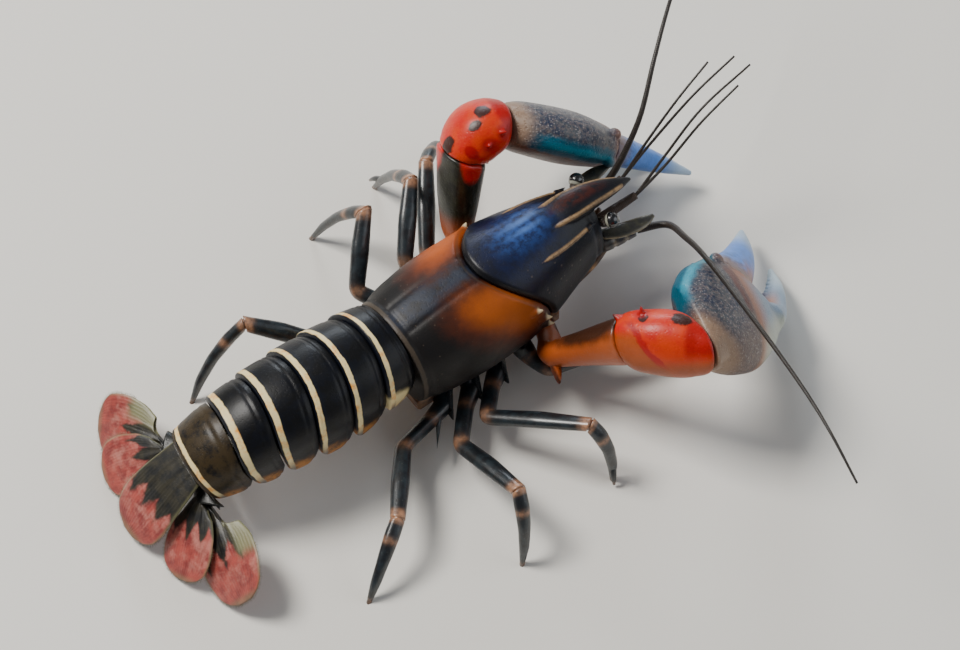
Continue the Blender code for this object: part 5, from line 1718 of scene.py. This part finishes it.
@dataclass
class Claw:
    """One claw leg: arm, wrist, hand with its fixed finger, and the movable finger."""

    side: Side
    joints: tuple[Place, ...]
    elbow: tuple[Place, ...]
    axis: Place
    spread: Place
    arm: tuple[Pair, ...]
    size: float
    wrist_size: float
    fixed_reach: float
    wrist_finish: WristFinish
    arm_finish: ArmFinish
    hand_finish: HandFinish
    wrist_sizes: tuple[Pair, ...] = ((5.5, 4.5), (5.9, 4.9), (6.2, 5.2), (6.1, 5.1), (5.6, 4.6))
    spine: Place = (5.2, 1, 3.4)
    spur: Place = (5.1, 1.15, 2.4)
    spur_from_elbow: float = 3
    edge_rounding: Pair = (1.2, 0.9)
    bulb_rounding: Pair = (3.2, 0.82)
    wrist_rounding: Pair = (3.2, 0.84)
    heel_from: float = 4.9
    heel_share: float = 0.08
    softening_reach: float = 2.4
    elbow_ball: float = 3.3
    wrist_ball: float = 3.5
    length: float = 43.5
    arch: float = 2.4
    finger_root: float = 23.4
    outer: Curve = Curve((0, -5), (4, -9.4), (10, -12.3), (18, -13.2), (27, -13.2), (34, -12.2), (40, -10.2),
                         (43.5, -7.7))
    inner: Curve = Curve((0, 4.4), (4, 7.8), (9, 9.5), (14, 9.6), (20, 7.9), (23.4, 6.7))
    fixed_edge: Curve = Curve((23.4, -5.8), (27, -7.3), (32, -8), (38, -8), (43.5, -7))
    half_depth: Curve = Curve((0, 4.2), (5, 5.1), (14, 5.4), (23.4, 4.4), (30, 3), (38, 1.9), (43.5, 0.5))
    dactyl_outer: Curve = Curve((23.4, 6), (28, 4.7), (33, 3.2), (38, 2.3), (42, 1.8), (45, 1.4))
    dactyl_inner: Curve = Curve((23.4, -4.6), (27, -4.5), (32, -4.2), (38, -3.2), (42, -1.7), (45, 0.6))
    dactyl_depth: Curve = Curve((23.4, 3.5), (30, 2.9), (38, 1.9), (45, 0.5))
    dactyl_length: float = 45
    voxel: float = 0.26

    def __post_init__(self) -> None:
        """Work out the hand's directions and the cuts at elbow and wrist."""
        self.heading = unit(vec(*self.axis))
        spread = vec(*self.spread)
        self.across = unit(spread - self.heading * spread.dot(self.heading))
        self.normal = np.cross(self.heading, self.across) * -self.side.value
        self.turned = np.array([self.heading, self.across, self.normal])
        joints = np.array(self.joints)
        self.elbow_line = np.array([self.joints[-1], *self.elbow])
        start, middle, self.wrist = self.elbow_line
        self.knee = unit(unit(start - joints[-2]) + unit(middle - start))
        self.bend = unit(unit(self.wrist - middle) + self.heading)

    def hand_point(self, s: float, m: float, n: float) -> Array:
        """A point by its way from the wrist, its way across and its way up."""
        arch = self.arch * (s / self.length) ** 2
        return self.wrist + (self.heading * s + self.across * m + self.normal * (n - arch)) * self.size

    def ring(self, s: float, low: Curve, high: Curve, depth: Curve, sides: int = 72) -> Array:
        """A ring across the hand at a distance from the wrist, between two margins."""
        return section(self.hand_point(s, (low(s) + high(s)) / 2, 0), self.heading, self.across,
                       self.size * abs(high(s) - low(s)) / 2, self.size * depth(s), sides, 2.15)

    def hand_chart(self, points: Array, low: Curve, high: Curve, cut: Curve | None = None) -> Array:
        """Way from the wrist, share across from the outer margin to the inner one, and roll round the hand.

        Args:
            points: The points to chart.
            low: The outer margin.
            high: The inner margin.
            cut: The inner margin past the finger's root, if it is another one.

        Returns:
            Three columns; the roll is in degrees, 0 at the inner margin and 90 on the upper face.
        """
        local = (points - self.wrist) / self.size
        s = local @ self.heading
        n = local @ self.normal + self.arch * (np.clip(s, 0, None) / self.length) ** 2
        if cut is None:
            last = high(s)
        else:
            s = np.where(s > self.finger_root, self.finger_root + (s - self.finger_root) / self.fixed_reach, s)
            last = high(s) + (cut(s) - high(s)) * ease((s - self.finger_root) / 5 + 0.5)
        first = low(s)
        share = (2 * (local @ self.across) - first - last) / np.maximum(np.abs(last - first), 0.5)
        roll = np.degrees(np.arctan2(n / np.maximum(self.half_depth(s), 0.4), share))
        return np.column_stack([s, share, roll])

    def teeth(self, places: Sequence[float], edge: Curve, height: float, reach: float) -> list[Solid]:
        """Blunt teeth along a finger's edge.

        Args:
            places: Their stations.
            edge: The edge.
            height: The height of the largest.
            reach: How far the finger is drawn out.

        Returns:
            The teeth.
        """
        made = []
        for i, s in enumerate(places):
            size = height * (1 if i % 3 == 1 else 0.72) * (1 - 0.35 * i / len(places))
            out = self.finger_root + (s - self.finger_root) * reach
            made.append(knob(self.hand_point(out, edge(s), 0), (size * 1.15, size, size * 0.95), self.turned))
        return made

    def beads(self) -> list[Solid]:
        """Beads of varied size along the palm's inner rim, and a lump on each side of the movable finger's root."""
        made = []
        for i, s in enumerate(np.linspace(5, 21, 11)):
            rim = self.inner(s + 0.3 * math.sin(2.7 * i))
            radii = vec(0.55, 0.4, 0.45) * (0.8 + 0.2 * math.sin(4.1 * i))
            made.append(knob(self.hand_point(s, rim - 0.34, 0.6 + 0.3 * math.sin(1.9 * i)), radii, self.turned))
        for n in (-2.7, 2.7):
            made.append(knob(self.hand_point(self.finger_root - 0.9, 5.2, n), (1.3, 1.5, 1.2), self.turned))
        return made

    def heel(self, ring: Array) -> Array:
        """How far points stay from the wrist's cut, so that the back of the palm is round."""
        away = ring - self.wrist
        out = np.linalg.norm(away - np.outer(away @ self.bend, self.bend), axis=1)
        return self.heel_share * np.maximum(out - self.heel_from, 0) ** 1.2

    def clear(self, ring: Array, along: Array, point: Array, face: Array, least: Array | float) -> Array:
        """Slide a ring's points along a direction until each is past a face by a distance."""
        short = np.maximum(least - (ring - point) @ face, 0)
        return ring + np.outer(short / along.dot(face), along)

    def stand(self, shop: Workshop, part: str, solid: Solid, finish: Finish, slot: Slot, node: str, chart: Array,
              accent: Array | None = None) -> None:
        """Put a piece of this claw in place."""
        shop.stand(f"claw_{self.side.word}_{part}", solid, finish, slot, f"cheliped_{self.side.word}_{node}", chart,
                   accent)

    def arm_piece(self, shop: Workshop) -> None:
        """Make the arm from the breast plate to the elbow.

        Args:
            shop: The workshop.
        """
        sides = 64
        last = self.elbow_line[0] - self.knee * GAP / 2
        solid = limb([*self.joints[:-1], last], self.arm, self.across, sides, 2.3, vec(0, 1, 0), self.knee,
                     step=0.25, soften=1.6)
        rings = solid.points[:-2].reshape(-1, sides, 3)
        for ring in rings[len(rings) // 2 + 1:]:
            ring[:] = drawn_in(ring, last, self.knee, *self.edge_rounding)
        chart = np.column_stack([solid.along, (solid.turn + 0.5) % 1, np.zeros(len(solid.points))])
        self.stand(shop, "arm", solid, self.arm_finish, Slot.CLAW_ARM, "merus", chart)

    def wrist_rings(self) -> list[Array]:
        """Rings from the elbow's cut to the wrist's cut, drawn in at both."""
        start, elbow, wrist = self.elbow_line
        first, last = start + self.knee * GAP / 2, wrist - self.bend * GAP / 2
        path = [first, first + (elbow - first) * 0.45, elbow, elbow + (last - elbow) * 0.6, last]
        upper, lower = unit(elbow - first), unit(wrist - elbow)
        rows = densify(np.column_stack([path, np.array(self.wrist_sizes) * self.wrist_size]), 0.2, 0.9)
        rings = []
        for i, (row, heading) in enumerate(zip(rows, headings(rows[:, :3]))):
            ring = section(row[:3], heading, self.across, row[3], row[4], 72, 2.2)
            ring = self.clear(ring, -lower, wrist, -self.bend, GAP / 2 + 0.015 * (len(rows) - 1 - i))
            rings.append(self.clear(ring, lower, start, self.knee, GAP / 2 + 0.015 * i))
        ends = slid(rings[0], first, self.knee, upper), slid(rings[-1], last, self.bend, lower)
        steps = np.linspace(0, 1, 10)[:-1]
        rings = [*(ends[0] + (rings[0] - ends[0]) * t for t in steps), *rings,
                 *(ends[1] + (rings[-1] - ends[1]) * t for t in steps[::-1])]
        return [drawn_in(drawn_in(ring, first, self.knee, *self.bulb_rounding), last, self.bend, *self.wrist_rounding)
                for ring in rings]

    def wrist_piece(self, shop: Workshop) -> None:
        """Make the wrist with the spine and the spur on its inner side.

        Args:
            shop: The workshop.
        """
        start, elbow, wrist = self.elbow_line
        upper, lower = unit(elbow - start - self.knee * GAP / 2), unit(wrist - elbow)
        foot = start + self.knee * GAP / 2 + upper * self.spur_from_elbow
        tips = []
        parts = [thorn(elbow + lower * 3 + self.across * 4.9 + self.normal * 1.2, self.across, 0.6, 1.3),
                 knob(start, self.elbow_ball), knob(wrist, self.wrist_ball)]
        for root, way, (away, radius, length) in ((elbow, self.across + lower * 0.6, self.spine),
                                                  (foot, self.across - upper * 0.45, self.spur)):
            parts.append(thorn(root + self.across * away, way, radius, length))
            tips.append(root + self.across * away + unit(way) * length * 0.75)
        solid = loft(self.wrist_rings()).joined(*parts).blended(self.voxel)
        depth = (wrist - solid.points) @ self.bend - GAP / 2
        solid = solid.softened((depth > -0.1) * (1 - ease(depth / self.softening_reach - 0.3)))
        points = solid.points
        line = unit(wrist - start)
        inner = unit(self.across - line * self.across.dot(line))
        top = np.cross(line, inner) * -self.side.value
        along = (points - start) @ line / lengths(self.elbow_line).sum()
        roll = np.degrees(np.arctan2((points - elbow) @ top, (points - elbow) @ inner))
        skin = np.maximum((start - points) @ self.knee, (points - wrist) @ self.bend)
        self.stand(shop, "wrist", solid, self.wrist_finish, Slot.CLAW_WRIST, "carpus",
                   np.column_stack([along, roll, ease(skin / 0.3 + 0.8)]),
                   1 - ease((nearness(points, tips) - 0.9) / 1.2))

    def hand_piece(self, shop: Workshop) -> None:
        """Make the hand with its fixed finger, its teeth and its beads.

        Args:
            shop: The workshop.
        """
        base = self.wrist + self.bend * GAP / 2
        rings = [slid(self.ring(0, self.outer, self.inner, self.half_depth), base, self.bend, self.heading)]
        for i, s in enumerate(np.linspace(0.4, self.finger_root - 0.3, 60), 1):
            ring = self.ring(s, self.outer, self.inner, self.half_depth)
            rings.append(self.clear(ring, self.heading, self.wrist, self.bend, GAP / 2 + 0.03 * i + self.heel(ring)))
        rings = [drawn_in(ring, base, self.bend, *self.edge_rounding) for ring in rings]
        for s in np.linspace(self.finger_root, self.length, 50):
            reached = self.finger_root + (s - self.finger_root) * self.fixed_reach
            rings.append(self.ring(s, self.outer, self.fixed_edge, self.half_depth)
                         + self.hand_point(reached, 0, 0) - self.hand_point(s, 0, 0))
        lumps = self.teeth(np.linspace(25.5, 39.5, 9), self.fixed_edge, 0.8, self.fixed_reach) + self.beads()
        solid = loft(rings).joined(*lumps).blended(self.voxel)
        depth = (solid.points - base) @ self.bend - self.heel(solid.points)
        s, share, _ = self.hand_chart(solid.points, self.outer, self.inner).T
        heel = ease(8 - s) * (1 - ease(depth / self.softening_reach - 0.3))
        root = ease(1.6 - np.abs(s - self.finger_root) / 2.2) * ease(0.6 - 2 * share)
        solid = solid.softened(np.maximum(heel, root))
        self.stand(shop, "hand", solid, self.hand_finish, Slot.CLAW_HAND, "propodus",
                   self.hand_chart(solid.points, self.outer, self.inner, self.fixed_edge))

    def finger_piece(self, shop: Workshop) -> None:
        """Make the movable finger with its teeth.

        Args:
            shop: The workshop.
        """
        rings = [self.ring(s, self.dactyl_inner, self.dactyl_outer, self.dactyl_depth, 60)
                 for s in np.linspace(self.finger_root + GAP, self.dactyl_length, 60)]
        lumps = self.teeth(np.linspace(26.5, 40.5, 8), self.dactyl_inner, 0.7, 1)
        solid = loft(rings).joined(*lumps).blended(self.voxel * 0.85, 3)
        self.stand(shop, "finger", solid, DactylFinish(f"dactyl_{self.side.word}"), Slot.CLAW_FINGER, "dactyl",
                   self.hand_chart(solid.points, self.dactyl_inner, self.dactyl_outer))

    def build(self, shop: Workshop) -> None:
        """Make the whole claw leg."""
        for piece in (self.arm_piece, self.wrist_piece, self.hand_piece, self.finger_piece):
            piece(shop)


@dataclass
class WalkingLeg:
    """A walking leg, parted at its knee; the front two pairs end in small pincers."""

    name: str
    root_x: float
    points: tuple[Place, Place, Place, Place]
    pincer: bool
    breast_half_width: float = 7.5
    root_height: float = 5.6
    coxa: float = 1.8
    knee_radius: float = 1.05
    upper_sizes: tuple[Pair, ...] = ((2.1, 1.5), (2, 1.5), (1.55, 1.35), (1.5, 1.3), (1.75, 1.25), (1.4, 1.1))
    lower_shape: tuple[Place, ...] = (
        (0, 1.35, 1.05), (0.22, 1.45, 1.1), (0.5, 1.2, 0.95), (0.76, 1, 0.8), (1, 0.42, 0.42))
    finish: PlainFinish = PlainFinish("leg_shell", srgb(28, 38, 44), srgb(10, 14, 19), accent=srgb(184, 134, 100),
                                      specks=srgb(92, 98, 96))

    def upper_half(self, shop: Workshop, hip: Array, knee: Array, face: Array) -> None:
        """Make the half between the breast plate and the knee's cut.

        Args:
            shop: The workshop.
            hip: The hip.
            knee: The knee.
            face: The normal of the cut.
        """
        sign = 1 if self.name.startswith("left") else -1
        root = vec(self.root_x, sign * (self.breast_half_width + GAP), self.root_height)
        basis = vec(*self.points[0])
        coxa = root + vec(0.12 * (basis[0] - root[0]), sign * self.coxa, 0)
        path = [root, coxa, basis, hip, (hip + knee) / 2 + vec(0, 0, 0.5), knee - face * GAP / 2]
        solid = limb(path, self.upper_sizes, vec(1, 0, 0), 32, 2.2, vec(0, 1, 0), face, soften=0.8)
        shares = np.cumsum(lengths(path)) / lengths(path).sum()
        marks = (bump_at(solid.along, shares[2], 0.035) * 0.6 + ease((solid.along - 0.93) / 0.05)
                 + bump_at(solid.along, shares[1], 0.03) * 0.5)
        shop.stand(f"leg_{self.name}_thigh", solid, self.finish, Slot.LEG, f"leg_{self.name}_upper",
                   accent=np.clip(marks, 0, 1))

    def lower_half(self, shop: Workshop, knee: Array, bow: Array, face: Array) -> None:
        """Make the half between the knee's cut and the ground, with its joint skin and perhaps its pincer.

        Args:
            shop: The workshop.
            knee: The knee.
            bow: How the leg bows above a straight line.
            face: The normal of the cut.
        """
        fore, toe = vec(1, 0, 0), vec(*self.points[3])
        path = [knee + (toe - knee) * t + bow * 5.6 * t * (1 - t) for t, _, _ in self.lower_shape]
        path[0] = knee + face * GAP / 2
        ball = knob(knee, self.knee_radius)
        solid = limb(path, [shape[1:] for shape in self.lower_shape], fore, 32, 2.2, face, vec(0, 0, 1), soften=0.7)
        solid = solid.joined(ball)
        solid.along[-len(ball.points):] = 0
        before, last = path[-2:]
        if self.pincer:
            way = last - before
            aside = unit(np.cross(np.cross(way, (0, 0, 1)), way))
            first, end = before + way * 0.1, before + way * 0.86 + aside * 1.5
            finger = limb([first, (first + end) / 2 + aside * 0.5, end], [(0.7, 0.6), (0.6, 0.5), (0.28, 0.25)],
                          fore, 24)
            finger.along = 0.72 + 0.28 * finger.along
            solid = solid.joined(finger)
        back = unit(before - last)
        solid.points -= np.outer(np.minimum(solid.points[:, 2], 0) / back[2], back)
        along = solid.along
        marks = ease((0.07 - along) / 0.05) + bump_at(along, 0.24, 0.035) * 0.8 + ease((along - 0.9) / 0.1) * 0.5
        shop.stand(f"leg_{self.name}_shin", solid, self.finish, Slot.LEG, f"leg_{self.name}_lower",
                   accent=np.clip(marks, 0, 1))

    def build(self, shop: Workshop) -> None:
        """Make both halves of the leg.

        Args:
            shop: The workshop.
        """
        hip, knee, toe = (vec(*place) for place in self.points[1:])
        bow = vec(0, 0, 0.9) + (knee - hip) * 0.05
        face = unit(unit(knee - hip) + unit((toe - knee) * 0.22 + bow))
        self.upper_half(shop, hip, knee, face)
        self.lower_half(shop, knee, bow, face)


@dataclass
class BreastPlate:
    """The plate between the legs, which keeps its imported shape."""

    rear: float = 0.6
    finish: PlainFinish = PlainFinish("breast_shell", srgb(150, 112, 78), srgb(104, 74, 54))

    def build(self, shop: Workshop, node: bpy.types.Object) -> None:
        """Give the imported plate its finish.

        Args:
            shop: The workshop.
            node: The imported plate.
        """
        node.data.materials.clear()
        node.data.materials.append(shop.material(self.finish))


@dataclass
class Studio:
    """A plain pale floor, soft lights and the camera.

    Each lamp is where it hangs from the aim in metres, its side in metres, its power in watts and its colour.
    """

    target: Place = (19.63, -0.7, 6.5)
    azimuth: float = -37
    elevation: float = 60
    distance: float = 1
    lens: float = 204.9
    floor_half: float = 3
    floor_colour: Colour = srgb(234, 231, 224)
    floor_roughness: float = 0.8
    sky: Colour = (0.9, 0.93, 1)
    sky_strength: float = 0.2
    lamps: dict[str, tuple[Place, float, float, Colour]] = field(default_factory=lambda: {
        "key": ((-0.3, 0.4, 0.75), 0.3, 9.5, (1, 0.97, 0.92)),
        "fill": ((0.6, -0.5, 0.45), 0.7, 2.4, (0.9, 0.95, 1)),
        "rim": ((0.4, 0.7, 0.3), 0.25, 2.5, (0.85, 0.92, 1))})

    def hang(self, name: str, data: bpy.types.ID, aim: Vector, away: Vector) -> bpy.types.Object:
        """Hang a lamp or the camera away from the aim and turn it there.

        Args:
            name: Its name.
            data: The light or the camera.
            aim: What it points at.
            away: Where it hangs from there.

        Returns:
            The hung thing.
        """
        thing = bpy.data.objects.new(name, data)
        thing.location = aim + away
        thing.rotation_mode = "QUATERNION"
        thing.rotation_quaternion = (-away).to_track_quat("-Z", "Y")
        bpy.context.scene.collection.objects.link(thing)
        return thing

    def floor(self) -> None:
        """Lay the floor."""
        half = self.floor_half
        mesh = bpy.data.meshes.new("floor")
        mesh.from_pydata([(-half, -half, 0), (half, -half, 0), (half, half, 0), (-half, half, 0)], [], [(0, 1, 2, 3)])
        material = bpy.data.materials.new("floor_paint")
        material.use_nodes = True
        shader = material.node_tree.nodes["Principled BSDF"]
        shader.inputs["Base Color"].default_value = (*self.floor_colour, 1)
        shader.inputs["Roughness"].default_value = self.floor_roughness
        mesh.materials.append(material)
        floor = bpy.data.objects.new("floor", mesh)
        bpy.context.scene.collection.objects.link(floor)
        floor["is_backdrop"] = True

    def build(self, shop: Workshop) -> None:
        """Set up the floor, the lights and the camera.

        Args:
            shop: The workshop.
        """
        aim = Vector(np.array(self.target) * MM + shop.shift)
        self.floor()
        for name, (away, side, power, colour) in self.lamps.items():
            light = bpy.data.lights.new(name, "AREA")
            light.size, light.energy, light.color = side, power, colour
            self.hang(name, light, aim, Vector(away))
        world = bpy.data.worlds.new("studio")
        bpy.context.scene.world = world
        world.use_nodes = True
        colour, strength = world.node_tree.nodes["Background"].inputs[:2]
        colour.default_value, strength.default_value = (*self.sky, 1), self.sky_strength
        camera = bpy.data.cameras.new("camera")
        camera.lens, camera.sensor_width, camera.clip_start, camera.clip_end = self.lens, 36, 0.05, 20
        turn, rise = math.radians(self.azimuth), math.radians(self.elevation)
        back = Vector((math.sin(turn) * math.cos(rise), -math.cos(turn) * math.cos(rise), math.sin(rise)))
        bpy.context.scene.camera = self.hang("camera", camera, aim, back * self.distance)


def right_claw() -> Claw:
    """The claw that reaches ahead and down, turned outward."""
    return Claw(
        Side.RIGHT,
        ((29, -7.8, 6.1), (27.9, -11.2, 7), (24.4, -15, 10.4), (27.8, -20.2, 16.4), (32.6, -27.2, 24.2)),
        ((36.6, -32.6, 26.7), (41.1, -37.6, 27.6)), (0.7075, 0.515, -0.482), (-0.25, 0.82, 0.51),
        ((2.5, 1.8), (2.3, 1.9), (2.3, 2.2), (3.1, 2.7), (4.6, 3.9)), 1, 1, 0.92,
        WristFinish("wrist_right", ((0.3, 11, 0.07, 9), (0.79, 4, 0.14, 16)), crease=True),
        ArmFinish("arm_right", 1.4, shadow=(0.49, 0.15)), HandFinish("hand_right", 2, 24, 22))


def left_claw() -> Claw:
    """The claw that is held across, in front of the head."""
    return Claw(
        Side.LEFT,
        ((29, 7.8, 6.1), (28.4, 11.6, 6.9), (26.8, 16, 9.8), (29.2, 18.6, 17.4), (32, 21.3, 26.2)),
        ((36.2, 21.9, 29), (40.8, 20.4, 28.6)), (0.752, -0.377, -0.542), (0.108, -0.736, 0.668),
        ((2.5, 1.8), (2.5, 1.9), (3.1, 2.5), (4.3, 3.5), (5.1, 4.1)), 0.94, 1.05, 1,
        WristFinish("wrist_left", ((0.72, 50, 0.15, 16), (0.44, 32, 0.13, 8), (-0.2, 42, 0.18, 26),
                                   (0.04, -46, 0.11, 16)), ((0.12, -6, 0.11, 15),), (150, 178)),
        ArmFinish("arm_left", 0.6, flames=((0.17, 0.06), (0.46, 0.08))), HandFinish("hand_left", -28, 14, -27))


def walking_legs() -> tuple[WalkingLeg, ...]:
    """The eight walking legs, each by where it leaves the breast plate and its basis, hip, knee and toe."""
    return tuple(WalkingLeg(name, root_x, points, name[-1] in "23") for name, root_x, points in (
        ("right_2", 23.3, ((23.4, -11, 5), (24.6, -15, 4.9), (37, -21, 9), (46, -24, 0))),
        ("right_3", 17.5, ((13.6, -12.2, 6), (8.5, -17.5, 8), (20, -33, 15), (21.6, -38, 0))),
        ("right_4", 11.6, ((7.4, -12.6, 6), (1.5, -19, 7.5), (2, -35.5, 14), (-2, -42, 0))),
        ("right_5", 5.8, ((0.4, -11.2, 6.4), (-7.4, -13.6, 8.6), (-17.5, -25.5, 10), (-28.5, -31.5, 0))),
        ("left_2", 23.3, ((22.6, 11.6, 5.2), (21, 17.5, 6), (31, 31, 11), (39, 37, 0))),
        ("left_3", 17.5, ((16.4, 11.6, 7.4), (14.7, 15.7, 12), (23.8, 26, 18), (24, 38, 0))),
        ("left_4", 11.6, ((8.8, 12, 6.6), (5, 17.5, 9), (13.5, 26.5, 16.5), (8, 36, 0))),
        ("left_5", 5.8, ((0.4, 11, 6.6), (-7, 13.2, 9), (-17.5, 21, 15.5), (-30, 21, 0)))))


@dataclass
class Crayfish:
    """The whole animal, sub-assembly by sub-assembly."""

    breast: BreastPlate = field(default_factory=BreastPlate)
    carapace: Carapace = field(default_factory=Carapace)
    abdomen: Abdomen = field(default_factory=Abdomen)
    face: Face = field(default_factory=Face)
    claws: tuple[Claw, ...] = field(default_factory=lambda: (right_claw(), left_claw()))
    legs: tuple[WalkingLeg, ...] = field(default_factory=walking_legs)

    def build(self, shop: Workshop, nodes: dict[str, bpy.types.Object]) -> None:
        """Make every piece.

        Args:
            shop: The workshop.
            nodes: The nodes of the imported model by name.
        """
        self.breast.build(shop, nodes["sternum"])
        for assembly in (self.carapace, self.abdomen, TailFan(self.abdomen), self.face, *self.claws, *self.legs):
            assembly.build(shop)


def plain_box() -> list[list[float]]:
    """The lowest and highest corner of what is shown, as plain lists."""
    low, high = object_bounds()
    return [list(low), list(high)]


def main() -> None:
    """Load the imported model, dress it and set up the studio."""
    logging.basicConfig(level=logging.INFO, format="%(message)s")
    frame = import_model()
    packed = plain_box()
    crayfish = Crayfish()
    shop = Workshop.at_frame(crayfish.breast.rear)
    crayfish.build(shop, frame["nodes"])
    Studio().build(shop)
    bpy.context.view_layer.update()
    LOG.info("%d faces in all", shop.faces)


if __name__ == "__main__":
    main()
